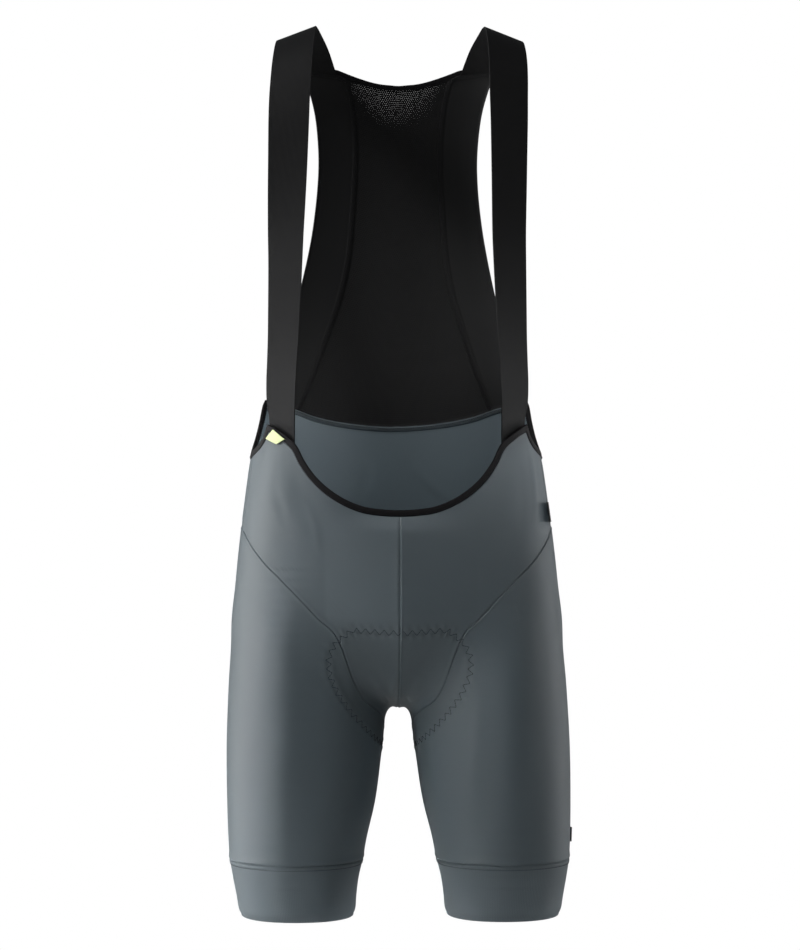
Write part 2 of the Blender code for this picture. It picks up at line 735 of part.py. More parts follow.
def build_tags(lines):
    """Plain tags: one hangs from the waist binding, one stands at the hip, one on the outer leg."""
    name, rows, columns = "waist_label", 3, 5
    attach = facing(*np.array([LABEL["outer"], LABEL["inner"]]).T, -1)
    edge = settle(even(attach, columns - 1))
    drop = np.array([LABEL["drop_x"], 0, LABEL["drop_z"]])
    grid = settle(edge[None] + drop * np.linspace(0, 1, rows)[:, None, None])
    normals = normals_of(grid)
    wall(name, LABEL_CLOTH, *(mirrored(grid + normals * by) for by in (LABEL_LIFT + TAG, LABEL_LIFT)))

    for name, place in (("hip_tab", HIP_TAB), ("leg_tag", LEG_TAG)):
        z = np.linspace(place["top"], place["bottom"], 4)
        root = on_side(SIDE_SEAM_Y, z) if name == "hip_tab" else on_thigh(place["angle"], z)
        normals = normals_of(root)
        forward = unit(np.cross(normals, np.array([0, 0, 1.0]))) * place["toward"]
        lift = np.linspace(0, 1, 3)[:, None, None]
        grid = root + forward * lift * place["reach"] + normals * (TAG_LIFT + lift**1.5 * place["stand"])
        wall(name, BLACK, grid + normals * TAG, grid)


def clear_scene():
    for old in list(bpy.data.objects):
        bpy.data.objects.remove(old, do_unlink=True)


clear_scene()
garment = bpy.data.collections.new("cycling_bib_shorts")
bpy.context.scene.collection.children.link(garment)

GREY = material("slate_knit", (0.085, 0.105, 0.118), 0.62)
BAND = material("leg_band_knit", (0.080, 0.100, 0.112), 0.66)
BLACK = material("black_knit", (0.012, 0.012, 0.013), 0.70)
OPEN_MESH = material("black_mesh", (0.010, 0.010, 0.011), 0.75)
ELASTIC = material("black_elastic", (0.018, 0.018, 0.019), 0.60)
EDGING = material("black_edging", (0.014, 0.013, 0.015), 0.65)
CHAMOIS = material("pad_fleece", (0.040, 0.043, 0.048), 0.90)
LABEL_CLOTH = material("pale_label", (0.82, 0.90, 0.45), 0.55)

shared = Lines()
build_shorts(shared)
build_back(shared)
build_straps(shared)
build_bindings(shared)
build_pad()
build_tags(shared)
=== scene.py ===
import math

import bpy
import numpy as np
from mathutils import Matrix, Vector
from mathutils.bvhtree import BVHTree


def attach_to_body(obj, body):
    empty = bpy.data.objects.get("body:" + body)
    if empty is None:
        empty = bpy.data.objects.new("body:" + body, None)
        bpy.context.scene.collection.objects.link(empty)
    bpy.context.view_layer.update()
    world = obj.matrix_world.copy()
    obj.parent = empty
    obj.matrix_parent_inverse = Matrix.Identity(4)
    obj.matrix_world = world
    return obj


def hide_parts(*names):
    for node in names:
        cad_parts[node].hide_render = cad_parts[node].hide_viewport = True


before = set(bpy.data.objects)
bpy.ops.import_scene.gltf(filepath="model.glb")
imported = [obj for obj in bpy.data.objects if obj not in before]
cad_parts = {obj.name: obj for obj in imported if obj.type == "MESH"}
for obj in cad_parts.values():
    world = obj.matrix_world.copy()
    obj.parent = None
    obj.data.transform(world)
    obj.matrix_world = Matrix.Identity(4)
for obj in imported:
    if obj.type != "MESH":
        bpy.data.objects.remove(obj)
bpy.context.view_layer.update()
print("frame loaded:", len(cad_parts), "solids")

# shader maths


def operator(name, turnedRound=False):
    # what an arithmetic sign does: adds a Math node and hands on its output
    def sign(self, other=0.0):
        first, second = (other, self) if turnedRound else (self, other)
        return self.node("Math", {"operation": name}, {0: first, 1: second})

    return sign


class Wire:
    # an output socket that sums and products work on; node() makes any other node beside it

    def __init__(self, tree, socket=None):
        self.tree, self.socket = tree, socket

    def node(self, kind, settings=None, sockets=None, output=0):
        made = self.tree.nodes.new("ShaderNode" + kind)
        for name, value in (settings or {}).items():
            setattr(made, name, value)
        for name, value in (sockets or {}).items():
            if isinstance(value, Wire):
                self.tree.links.new(value.socket, made.inputs[name])
            else:
                made.inputs[name].default_value = value
        return Wire(self.tree, made.outputs[output])

    __add__ = __radd__ = operator("ADD")
    __mul__ = __rmul__ = operator("MULTIPLY")
    __sub__, __rsub__ = operator("SUBTRACT"), operator("SUBTRACT", True)
    __lt__, __gt__ = operator("LESS_THAN"), operator("GREATER_THAN")
    __pow__, __abs__ = operator("POWER"), operator("ABSOLUTE")
    sine, fraction = operator("SINE"), operator("FRACT")

    def wave(self, pitch):
        # a smooth wave from 0 to 1 that repeats every pitch
        return (self * (2 * math.pi / pitch)).sine() * 0.5 + 0.5

    def through(self, pitch):
        # how far through its own pitch each place is, from 0 to 1
        return (self * (1 / pitch)).fraction()


# camera, light and floor

view = {"distance": 3.0, "height": -0.469, "turn": 1.7, "pixel": 0.00105, "across": 800, "shift": 0.002}
studio = {
    "floor": -1.43,  # a standing wearer's feet, below the shoulders
    "floorSize": 5.2,
    "floorTone": 0.82,
    "floorRough": 0.9,
    "backdrop": 1.0,
    "backdropTint": (1, 1, 1),
    "fill": 0.08,
    "fillTint": (0.93, 0.97, 1),
}
upright = {"height": 0, "reach": 2.2, "width": 0.35, "tall": 2.0}  # tall soft strips at both sides
lamps = [  # angle round the garment from the front, towards the wearer's left, in degrees
    {**upright, "name": "rimRight", "angle": -126, "power": 14.5},
    {**upright, "name": "sideRight", "angle": -95, "power": 50},
    {**upright, "name": "sideLeft", "angle": 98, "power": 11.4},
    {**upright, "name": "rimLeft", "angle": 126, "power": 9.4},
    {"name": "overhead", "angle": 20, "height": 1.9, "reach": 1.6, "width": 0.8, "tall": 0.8, "power": 9},
    {"name": "hips", "angle": -60, "height": 1.2, "reach": 1.2, "width": 0.5, "tall": 0.5, "power": 1.3,
     "aim": (0, 0, -0.42), "spread": 46},
    {"name": "inside", "angle": 38, "height": 0.35, "reach": 1.6, "width": 0.3, "tall": 0.3, "power": 0.055,
     "aim": (-0.085, 0.08, -0.45), "spread": 16},
    {"name": "pocket", "angle": 60, "height": 0.42, "reach": 1.5, "width": 0.2, "tall": 0.2, "power": 0.05,
     "aim": (-0.133, 0, -0.432), "spread": 8},
    {"name": "rise", "angle": -50, "height": -0.1, "reach": 1.4, "width": 0.25, "tall": 0.25, "power": 0.088,
     "aim": (-0.01, -0.1, -0.67), "spread": 16},
    {"name": "hem", "angle": -60, "height": -0.5, "reach": 1.4, "width": 0.2, "tall": 0.2, "power": 0.125,
     "aim": (-0.12, -0.03, -0.90), "spread": 14},
    {"name": "thigh", "angle": -25, "height": -0.33, "reach": 1.5, "width": 0.12, "tall": 0.5, "power": 0.03,
     "aim": (0.105, -0.06, -0.80), "spread": 9},
]


def makeCamera():
    data = bpy.data.cameras.new("camera")
    data.sensor_fit = "HORIZONTAL"
    data.sensor_width = 36
    data.lens = data.sensor_width * view["distance"] / (view["across"] * view["pixel"])
    data.shift_x = view["shift"]
    data.dof.use_dof = False
    camera = bpy.data.objects.new("camera", data)
    turn = math.radians(view["turn"])
    camera.location = (-view["distance"] * math.sin(turn), -view["distance"] * math.cos(turn), view["height"])
    camera.rotation_euler = (math.radians(90), 0, -turn)
    bpy.context.collection.objects.link(camera)
    bpy.context.scene.camera = camera


def makeLamp(lamp):
    data = bpy.data.lights.new(lamp["name"], "AREA")
    data.shape = "RECTANGLE"
    data.size, data.size_y = lamp["width"], lamp["tall"]
    data.energy = lamp["power"]
    data.spread = math.radians(lamp.get("spread", 180))
    holder = bpy.data.objects.new(lamp["name"], data)
    turn = math.radians(lamp["angle"])
    middle = Vector((0, 0, view["height"]))
    across, ahead = math.sin(turn) * lamp["reach"], -math.cos(turn) * lamp["reach"]
    holder.location = middle + Vector((across, ahead, lamp["height"]))
    towards = Vector(lamp.get("aim", middle)) - holder.location
    holder.rotation_euler = towards.to_track_quat("-Z", "Y").to_euler()
    bpy.context.collection.objects.link(holder)


def makeWorld():
    world = bpy.data.worlds.new("studio")
    bpy.context.scene.world = world
    world.use_nodes = True
    start = Wire(world.node_tree)
    lit, seen = (
        start.node("Background", None, {"Color": (*studio[key + "Tint"], 1), "Strength": studio[key]})
        for key in ("fill", "backdrop")
    )
    ray = start.node("LightPath", None, None, "Is Camera Ray")
    mix = start.node("MixShader", None, {0: ray, 1: lit, 2: seen})
    world.node_tree.links.new(mix.socket, world.node_tree.nodes["World Output"].inputs["Surface"])


def makeFloor():
    bpy.ops.object.select_all(action="DESELECT")
    bpy.ops.mesh.primitive_plane_add(size=studio["floorSize"], location=(0, 0, studio["floor"]))
    floor = bpy.context.object
    floor.name = "floor"
    bpy.ops.object.transform_apply(location=True, rotation=True, scale=True)
    paint = bpy.data.materials.new("floorPaint")
    paint.use_nodes = True
    tone = studio["floorTone"]
    shader = paint.node_tree.nodes["Principled BSDF"]
    shader.inputs["Base Color"].default_value = (tone, tone, tone, 1)
    shader.inputs["Roughness"].default_value = studio["floorRough"]
    floor.data.materials.append(paint)


makeCamera()
for lamp in lamps:
    makeLamp(lamp)
makeWorld()
makeFloor()
bpy.context.scene.view_settings.view_transform = "Standard"
print("studio ready")

# finishes


def startMaterial(name):
    material = bpy.data.materials.new(name)
    material.use_nodes = True
    tree = material.node_tree
    shader = tree.nodes["Principled BSDF"]
    start = Wire(tree)
    uv = start.node("UVMap", {"uv_map": "cloth"})
    across, along = (start.node("SeparateXYZ", None, {0: uv}, output) for output in (0, 1))
    place = start.node("TexCoord", None, None, "Object")
    return material, shader, start, across, along, place


def feed(shader, tree, **wires):
    for name, wire in wires.items():
        tree.links.new(wire.socket, shader.inputs[name.replace("_", " ")])


def shineThrough(shader, start, share, tint):
    # thin stretched cloth lets some light through from its other side
    behind = start.node("BsdfTranslucent", None, {"Color": (*tint, 1)})
    mix = start.node("MixShader", None, {0: share, 1: Wire(start.tree, shader.outputs[0]), 2: behind})
    start.tree.links.new(mix.socket, start.tree.nodes["Material Output"].inputs["Surface"])


def setShine(shader, look):
    for name, key in (("Roughness", "rough"), ("Sheen Weight", "sheen"), ("Specular IOR Level", "gloss")):
        if not shader.inputs[name].is_linked:
            shader.inputs[name].default_value = look[key]


def blend(start, share, first, second):
    # a colour that runs from the first to the second
    return start.node("Mix", {"data_type": "RGBA"}, {0: share, 6: (*first, 1), 7: (*second, 1)}, 2)


def knitFinish(name, look):
    # fine wales and courses, a little unevenness in tone, painted shade that darkens the grooves between the
    # yarn's wales and courses, and the yarn's soft sheen
    material, shader, start, across, along, place = startMaterial(name)
    blotch, grain = (
        start.node("TexNoise", None, {"Vector": place, "Scale": look[key], "Detail": look[key + "Detail"]})
        for key in ("blotch", "grain")
    )
    lean = across + along.wave(look["course"] * 2) * (look["wale"] * look["sway"])
    wales, courses = lean.wave(look["wale"]), along.wave(look["course"])
    yarn = wales * look["waleShare"] + courses * (1 - look["waleShare"])
    # the tone is random unevenness plus painted shade: the colour is darker where the yarn's relief dips
    tone = blotch * look["blotchDepth"] + grain * look["grainDepth"] + yarn * look["grooveShadeDepth"]
    colour = blend(start, tone, look["dark"], look["light"])
    raised = yarn + grain * look["grainRelief"]
    bump = start.node("Bump", None, {"Height": raised, "Distance": look["relief"], "Strength": look["bump"]})
    rough = blotch * look["roughSpread"] + (look["rough"] - look["roughSpread"] / 2)
    feed(shader, start.tree, Base_Color=colour, Normal=bump, Roughness=rough)
    if look["through"]:
        shineThrough(shader, start, look["through"], look["throughTint"])
    setShine(shader, look)
    shader.inputs["Sheen Roughness"].default_value = look["sheenRough"]
    shader.inputs["Sheen Tint"].default_value = (*look["sheenTint"], 1)
    return material


slate = {
    "dark": (0.065, 0.081, 0.090), "light": (0.102, 0.127, 0.141),
    "blotch": 9.0, "blotchDetail": 3.0, "blotchDepth": 0.55,  # large, faint unevenness
    "grain": 900.0, "grainDetail": 2.0, "grainDepth": 0.35, "grainRelief": 0.5,
    # the yarn term is painted shade: how much darker the grooves between wales and courses are painted
    "wale": 0.0007, "course": 0.0006, "waleShare": 0.6, "sway": 0.3, "grooveShadeDepth": 0.22,
    "relief": 0.00012, "bump": 0.5, "rough": 0.46, "roughSpread": 0.08, "gloss": 0.5,
    "sheen": 0.12, "sheenRough": 0.35, "sheenTint": (0.85, 0.92, 0.95),
    "through": 0.26, "throughTint": (0.74, 0.84, 0.90),
}
band = {
    **slate, "wale": 0.0018, "course": 0.0011, "waleShare": 0.85, "relief": 0.00045, "bump": 0.8,
    # stronger painted shade in the rib grooves
    "grooveShadeDepth": 0.50, "rough": 0.52,
}
blackKnit = {
    **slate, "dark": (0.0035, 0.0035, 0.0038), "light": (0.0080, 0.0080, 0.0084), "through": 0,
    "rough": 0.62, "sheen": 0.03, "gloss": 0.25,
}
elastic = {
    **blackKnit, "dark": (0.0030, 0.0030, 0.0032), "light": (0.0090, 0.0090, 0.0095), "wale": 0.0012,
    "course": 0.0007, "waleShare": 0.75, "relief": 0.00022, "bump": 0.8, "rough": 0.6, "sheen": 0.02,
    "gloss": 0.12,
}
edging = {
    **blackKnit, "dark": (0.0026, 0.0023, 0.0028), "light": (0.0060, 0.0054, 0.0064), "wale": 0.0009,
    "rough": 0.6, "sheen": 0.015, "gloss": 0.12,
}
fleece = {
    **slate, "dark": (0.022, 0.024, 0.027), "light": (0.060, 0.064, 0.070), "through": 0, "blotch": 60.0,
    "grain": 500.0, "rough": 0.85, "sheen": 0.5, "sheenRough": 0.6, "gloss": 0.15, "relief": 0.0003,
}
thread = {
    **slate, "dark": (0.020, 0.026, 0.030), "light": (0.045, 0.056, 0.063), "through": 0, "rough": 0.5,
}
zigzag = {**thread, "dark": (0.018, 0.022, 0.025), "light": (0.036, 0.043, 0.048)}
pale = {**thread, "dark": (0.080, 0.094, 0.102), "light": (0.150, 0.172, 0.184)}
blackThread = {
    **thread, "dark": (0.005, 0.005, 0.006), "light": (0.014, 0.014, 0.015), "gloss": 0.15, "sheen": 0.02,
}
tape = {
    **slate, "dark": (0.62, 0.72, 0.32), "light": (0.76, 0.84, 0.45), "through": 0, "wale": 0.0005,
    "rough": 0.55, "sheen": 0.05,
}

slateKnit, bandKnit, blackCloth, webbing, edgingCloth, padFleece = (
    knitFinish(name, look) for name, look in (
        ("slateKnit", slate), ("bandKnit", band), ("blackCloth", blackKnit), ("webbing", elastic),
        ("edgingCloth", edging), ("padFleece", fleece),
    )
)
greyThread, zigzagThread, paleThread, darkThread, paleTape = (
    knitFinish(name, look) for name, look in (
        ("greyThread", thread), ("zigzagThread", zigzag), ("paleThread", pale),
        ("darkThread", blackThread), ("paleTape", tape),
    )
)


def openMesh(look):
    # black net: rows of small holes, open near the neck and closing further down, the yarn painted darker
    # towards each hole as shade
    material, shader, start, across, along, place = startMaterial("openMesh")
    shifted = across + (along.through(look["pitch"] * 2) > 0.5) * (look["pitch"] / 2)
    sideways, down = (abs(wire.through(look["pitch"]) - 0.5) for wire in (shifted, along))
    reach = (sideways * sideways + down * down) ** 0.5
    offCentre, height = (start.node("SeparateXYZ", None, {0: place}, output) for output in (0, 2))
    depth = look["openAt"] - height + offCentre * offCentre * look["sideFade"]
    opening = start.node("MapRange", None, {0: depth, 1: 0.0, 2: look["fade"], 3: look["wide"], 4: 0.0})
    hole = reach < opening
    # painted shade: the yarn's colour darkens into the dip round each hole, following the same rise as the
    # bump
    shade = start.node("MapRange", None, {0: reach, 1: look["dip"], 2: look["crest"], 3: 0.0, 4: 1.0})
    colour = blend(start, shade, look["deep"], look["yarn"])
    bump = start.node("Bump", None, {"Height": shade, "Distance": look["relief"], "Strength": look["bump"]})
    feed(shader, start.tree, Base_Color=colour, Normal=bump, Alpha=1 - hole)
    setShine(shader, look)
    return material


net = {
    "pitch": 0.0021, "openAt": -0.064, "fade": 0.036, "sideFade": 12.0, "wide": 0.100, "dip": 0.1,
    # deep: the painted shade round each hole; yarn: the net's own black
    "crest": 0.45, "deep": (0.002, 0.002, 0.002), "yarn": (0.0072, 0.0072, 0.0076), "relief": 0.0003,
    "bump": 0.7, "rough": 0.62, "sheen": 0.03, "gloss": 0.2,
}
netCloth = openMesh(net)
print("finishes ready")

# reading a solid's walls back as rows of points

sharpRim = 50  # degrees: a wall's two faces meet its rim at more than this
sameDigits = 5  # corners that agree to a hundredth of a millimetre are one point


def readLayers(node):
    # the two faces of a wall, each as triangles with the outside on their left
    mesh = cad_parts[node].data
    corners = np.array([tuple(v.co) for v in mesh.vertices])
    rounded = np.round(corners, sameDigits)
    _, first, merged = np.unique(rounded, axis=0, return_index=True, return_inverse=True)
    points = corners[first]
    triangles = merged.reshape(-1)[[tuple(p.vertices) for p in mesh.polygons]]
    a, b, c = (points[triangles[:, k]] for k in range(3))
    facing = np.cross(b - a, c - a)
    facing /= np.linalg.norm(facing, axis=1, keepdims=True)
    owner = {}
    for f, triangle in enumerate(triangles.tolist()):
        for k in range(3):
            owner[triangle[k], triangle[k - 2]] = f
    group = np.full(len(triangles), -1)
    smooth = math.cos(math.radians(sharpRim))
    for seed in range(len(triangles)):
        if group[seed] >= 0:
            continue
        group[seed], waiting = seed, [seed]
        while waiting:
            f = waiting.pop()
            triangle = triangles[f].tolist()
            for k in range(3):
                other = owner[triangle[k - 2], triangle[k]]
                if group[other] < 0 and facing[f] @ facing[other] > smooth:
                    group[other] = seed
                    waiting.append(other)
    sizes = sorted(set(group.tolist()), key=lambda seed: -np.sum(group == seed))
    return points, [triangles[group == seed] for seed in sizes[:2]]


def nextLine(apex, line, start):
    # the line of points beside this one, on its left; None where they don't make a strip of quads
    found = [start]
    for a, b in zip(line, line[1:]):
        far = apex.get((a, b))
        if far == found[-1]:
            found.append(apex.get((far, b)))
        elif apex.get((a, far)) == found[-1]:
            found.append(far)
        else:
            return None
    return None if None in found else found


def readRows(triangles):
    # a triangulated grid, walked strip by strip; a tube's rows end where they start
    apex = {}
    for a, b, c in triangles.tolist():
        apex[a, b], apex[b, c], apex[c, a] = c, a, b
    ahead = {a: b for a, b in apex if (b, a) not in apex}
    border = [next(iter(ahead))]
    while ahead[border[-1]] != border[0]:
        border.append(ahead[border[-1]])
    quads = len(triangles) // 2
    if len(border) < len(ahead):
        rows = [border + border[:1]]
        for _ in range(quads // len(border)):
            a, b = rows[-1][:2]
            starts = [apex[a, b], apex.get((a, apex[a, b]))]
            strips = [nextLine(apex, rows[-1], start) for start in starts]
            rows.append(next(strip for strip in strips if strip and strip[0] == strip[-1]))
        return rows
    half = len(border) // 2
    short = round(half / 2 - math.sqrt(half * half / 4 - quads))
    for across in (short, half - short):
        for turn in range(len(border)):
            ring = border[turn:] + border[:turn]
            rows = [ring[: across + 1]]
            for start in ring[: across - half - 1 : -1]:
                strip = nextLine(apex, rows[-1], start)
                if strip is None:
                    break
                rows.append(strip)
            if len(rows) == half - across + 1 and rows[-1][-1] == ring[half]:
                return rows
    raise ValueError("these triangles are no grid")


def turned(grid):
    # the same grid with its rows, its columns or both the other way round
    return (grid, grid[::-1], grid[:, ::-1], grid[::-1, ::-1])


def roll(grid, by):
    # a tube's rows, starting that many columns further on
    moved = np.roll(grid[:, :-1], -by, axis=1)
    return np.concatenate([moved, moved[:, :1]], axis=1)


hang = {  # worn cloth never hangs quite true: how far each height sits to one side
    "heights": [0.0, -0.080, -0.220, -0.450, -0.650, -0.760, -0.920],
    "sideways": [0.0015, -0.0012, -0.0036, -0.0024, -0.0014, 0.0, 0.0018],
    "back": [0.0010, 0.0040, 0.0058, 0.0, 0.0, 0.0, 0.0],  # the open back's own, on top
    "backFrom": -0.02,
    "backReach": 0.07,
}


def hung(points):
    heights = np.array(hang["heights"])[::-1]
    tables = np.stack([np.array(hang[key])[::-1] for key in ("sideways", "back")], -1)
    at = np.interp(points[..., 2], heights, np.arange(len(heights)))
    moved = smoothAlong(tables, at.ravel()).reshape(*at.shape, 2)
    back = np.clip((points[..., 1] - hang["backFrom"]) / hang["backReach"], 0, 1)
    shift = moved[..., 0] + moved[..., 1] * eased(back)
    return points + shift[..., None] * np.array([1.0, 0, 0])


def clothRows(node, centre=None):
    # a wall's outer and inner face, rows running down and columns to the right as seen from outside
    points, layers = readLayers(node)
    middle = points.mean(axis=0) if centre is None else np.array(centre)
    faces = [points[np.array(readRows(triangles))] for triangles in layers]
    outer, inner = sorted(faces, key=lambda grid: -np.linalg.norm(grid - middle, axis=-1).mean())
    height = outer[..., 2]
    if abs(height[0].mean() - height[-1].mean()) < abs(height[:, 0].mean() - height[:, -1].mean()):
        outer, inner = outer.swapaxes(0, 1), inner.swapaxes(0, 1)
    if outer[0, :, 2].mean() < outer[-1, :, 2].mean():
        outer = outer[::-1]
    facing = np.cross(np.gradient(outer, axis=0), np.gradient(outer, axis=1))
    if (facing * (outer - middle)).sum() < 0:
        outer = outer[:, ::-1]
    if np.allclose(outer[:, 0], outer[:, -1]):  # a tube's columns start on its back
        outer = roll(outer, int(np.argmax(outer[0, :-1, 1])))
        options = [roll(grid, by) for grid in turned(inner) for by in range(inner.shape[1] - 1)]
    else:
        options = turned(inner)
    inner = min(options, key=lambda grid: np.linalg.norm(grid - outer, axis=-1).sum())
    return hung(outer), hung(inner)


# smooth lines and finer grids

cornerTurn = 48  # degrees: a line that turns more than this at a point has a corner there
edgeRoom = 0.4  # of a step, kept free beside the close lines at an edge
tiny, shortest = 1e-12, 1e-9  # nothing is divided by less


def eased(share):
    return share * share * (3 - 2 * share)


def bell(gap, width):
    return np.exp(-((gap / width) ** 2))


def unit(vectors):
    return vectors / np.maximum(np.linalg.norm(vectors, axis=-1, keepdims=True), tiny)


def runOf(line):
    # how far along a line, or along each column of a grid, every point is
    steps = np.linalg.norm(np.diff(line, axis=0), axis=-1)
    return np.concatenate([np.zeros_like(steps[:1]), np.cumsum(steps, axis=0)])


def smoothAlong(lines, at, closed=False):
    # cubic curves through lines[0], lines[1], ... read at these places, with true corners kept
    leap = np.diff(lines, axis=0)
    length = np.maximum(np.linalg.norm(leap, axis=-1, keepdims=True), shortest)
    pace = leap / length
    first, last = (-1, 0) if closed else (0, -1)
    before, after = np.concatenate([pace[[first]], pace]), np.concatenate([pace, pace[[last]]])
    back, forth = np.concatenate([length[[first]], length]), np.concatenate([length, length[[last]]])
    mean = (before * forth + after * back) / (back + forth)
    corner = (before * after).sum(-1, keepdims=True) < math.cos(math.radians(cornerTurn))
    leaving, arriving = np.where(corner, after, mean)[:-1], np.where(corner, before, mean)[1:]
    i = np.clip(np.floor(at).astype(int), 0, len(leap) - 1)
    t = (np.array(at) - i).reshape(-1, *[1] * (lines.ndim - 1))
    rise = length[i] * (t * (1 - t) ** 2 * leaving[i] + t * t * (t - 1) * arriving[i])
    return (1 + 2 * t) * (1 - t) ** 2 * lines[i] + t * t * (3 - 2 * t) * lines[i + 1] + rise


def places(count, each, near=(), length=1.0):
    # where to read a grid: that many steps a cell of this length, and closer lines beside its two edges
    found = np.linspace(0, count, count * each + 1)
    if len(near):
        close = np.array(near) / length
        room = close[-1] + edgeRoom / each
        inner = found[(found > room) & (found < count - room)]
        found = np.concatenate([[0], close, inner, count - close[::-1], [count]])
    return found


def finer(grid, each, near=(), closed=False):
    rows, columns = grid.shape[0] - 1, grid.shape[1] - 1
    tall, wide = runOf(grid)[-1].mean() / rows, runOf(grid.swapaxes(0, 1))[-1].mean() / columns
    grid = smoothAlong(grid, places(rows, each[0], near, tall))
    across = smoothAlong(grid.swapaxes(0, 1), places(columns, each[1], () if closed else near, wide), closed)
    return across.swapaxes(0, 1)


def outwards(grid, closed=False):
    along, down = np.gradient(grid, axis=1), np.gradient(grid, axis=0)
    if closed:
        along[:, 0] = along[:, -1] = (grid[:, 1] - grid[:, -2]) / 2
    return unit(np.cross(down, along))


def distances(grid):
    # how far each point is from the top, bottom, left and right edge, over the cloth
    down, across = runOf(grid), runOf(grid.swapaxes(0, 1)).swapaxes(0, 1)
    return {"top": down, "bottom": down[-1] - down, "left": across, "right": across[:, -1:] - across}


def readAt(line, run, at):
    return np.stack([np.interp(at, run, line[:, k]) for k in range(3)], -1)


# making meshes

mergeDoubles = ("remove_doubles", {"threshold": 1e-6})
fillEnds = ("fill_holes", {"sides": 0})
facesOut = ("normals_make_consistent", {"inside": False})
smoothUnder = {"wall": 50, "tube": 60}  # degrees: sharper edges stay sharp


def pick(piece):
    bpy.ops.object.select_all(action="DESELECT")
    piece.select_set(True)
    bpy.context.view_layer.objects.active = piece


def meshOf(name, points, faces, uvs, material):
    mesh = bpy.data.meshes.new(name)
    mesh.from_pydata(points.tolist(), [], faces)
    layer = mesh.uv_layers.new(name="cloth")
    corners = np.zeros(len(mesh.loops), int)
    mesh.loops.foreach_get("vertex_index", corners)
    layer.data.foreach_set("uv", uvs[corners].ravel())
    mesh.materials.append(material)
    piece = bpy.data.objects.new(name, mesh)
    bpy.context.collection.objects.link(piece)
    pick(piece)
    bpy.ops.object.shade_smooth()
    return piece


def inEdit(piece, *steps):
    # a few edit mode steps on everything in a mesh
    pick(piece)
    bpy.ops.object.mode_set(mode="EDIT")
    for step, settings in steps:
        bpy.ops.mesh.select_all(action="SELECT")
        getattr(bpy.ops.mesh, step)(**settings)
    bpy.ops.object.mode_set(mode="OBJECT")


def gridFaces(rows, columns, start=0):
    number = np.arange(rows * columns).reshape(rows, columns) + start
    quads = np.stack([number[:-1, :-1], number[1:, :-1], number[1:, 1:], number[:-1, 1:]], -1)
    return quads.reshape(-1, 4)


def clothMesh(name, grid, material, closed=False):
    # one layer of cloth, facing outwards, with its own crosswise and lengthwise measure in metres
    rows, columns = grid.shape[:2]
    across = runOf(grid.swapaxes(0, 1)).swapaxes(0, 1)
    if closed:
        across = across / across[:, -1:] * across[:, -1].mean()
    else:
        across = across - across[:, columns // 2 : columns // 2 + 1]
    down = np.broadcast_to(runOf(grid[:, columns // 2])[:, None], across.shape)
    uvs = np.stack([across, down], -1).reshape(-1, 2)
    piece = meshOf(name, grid.reshape(-1, 3), gridFaces(rows, columns).tolist(), uvs, material)
    if closed:
        inEdit(piece, mergeDoubles)
    return piece


def thicken(piece, thickness):
    pick(piece)
    wall = piece.modifiers.new("wall", "SOLIDIFY")
    wall.thickness, wall.offset, wall.use_rim = thickness, -1, True
    bpy.ops.object.modifier_apply(modifier=wall.name)
    bpy.ops.object.shade_smooth_by_angle(angle=math.radians(smoothUnder["wall"]))


def attach(piece, nodes=()):
    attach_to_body(piece, "root")
    if nodes:
        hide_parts(*nodes)


# the panels

sunkBelow = {"left": "sunk", "right": "sunk", "bottom": "sunk"}
sunkAll = {"top": "sunk", **sunkBelow}
grey = {
    "finish": slateKnit, "slot": "slate_knit", "thickness": 0.0012, "each": (7, 7),
    "near": (0.0004, 0.0009, 0.0015, 0.0023, 0.0032),  # closer rows beside an edge
}
black = {
    **grey, "finish": blackCloth, "slot": "black_knit", "each": (6, 6), "near": (0.0004, 0.0009, 0.0016),
    "centre": (0, -0.1, -0.23),  # a place on the wearer's side, from which the cloth faces away
}
frontHalf = {**grey, "centre": (0, 0.02, -0.56), "cut": (0.19, 0.24, 0.0292)}  # cut: width, length and area
leg = {
    **grey, "closed": True, "each": (8, 6), "seams": {"top": "raised", "bottom": "overBand"},
    "cut": (0.52, 0.36, 0.128),
}
banded = {
    **leg, "each": (11, 6), "finish": bandKnit, "slot": "leg_band_knit", "thickness": 0.0016,
    "near": (0.0004, 0.0009, 0.0014, 0.0019, 0.0024, 0.0030, 0.0036, 0.0042, 0.0048, 0.0054, 0.0064),
    "seams": {"top": "bandTop", "bottom": "hem"}, "cut": (0.45, 0.062, 0.0265),
}
sideBack = {**black, "seams": sunkAll, "cut": (0.09, 0.38, 0.0169)}
webbed = {
    **black, "each": (6, 5), "finish": webbing, "slot": "black_elastic", "thickness": 0.0014, "seams": {},
    "cut": (0.045, 0.56, 0.0233),
}
panels = {
    "front_panel_right": {**frontHalf, "seams": sunkBelow},
    "front_panel_left": {**frontHalf, "seams": {**sunkBelow, "left": "edged"}},
    "back_panel": {**grey, "centre": (0, -0.02, -0.56), "cut": (0.42, 0.40, 0.1027),
                   "seams": {**sunkAll, "left": "raised", "right": "raised"}},
    "leg_panel_right": leg,
    "leg_panel_left": leg,
    "leg_gripper_right": banded,
    "leg_gripper_left": banded,
    "back_mesh_panel": {**black, "finish": netCloth, "slot": "black_mesh", "thickness": 0.0005,
                        "seams": sunkBelow, "cut": (0.20, 0.37, 0.0480)},
    "side_back_panel_right": sideBack,
    "side_back_panel_left": sideBack,
    "strap_right": {**webbed, "centre": (-0.1, 0, -0.3)},
    "strap_left": {**webbed, "centre": (0.1, 0, -0.3)},
}
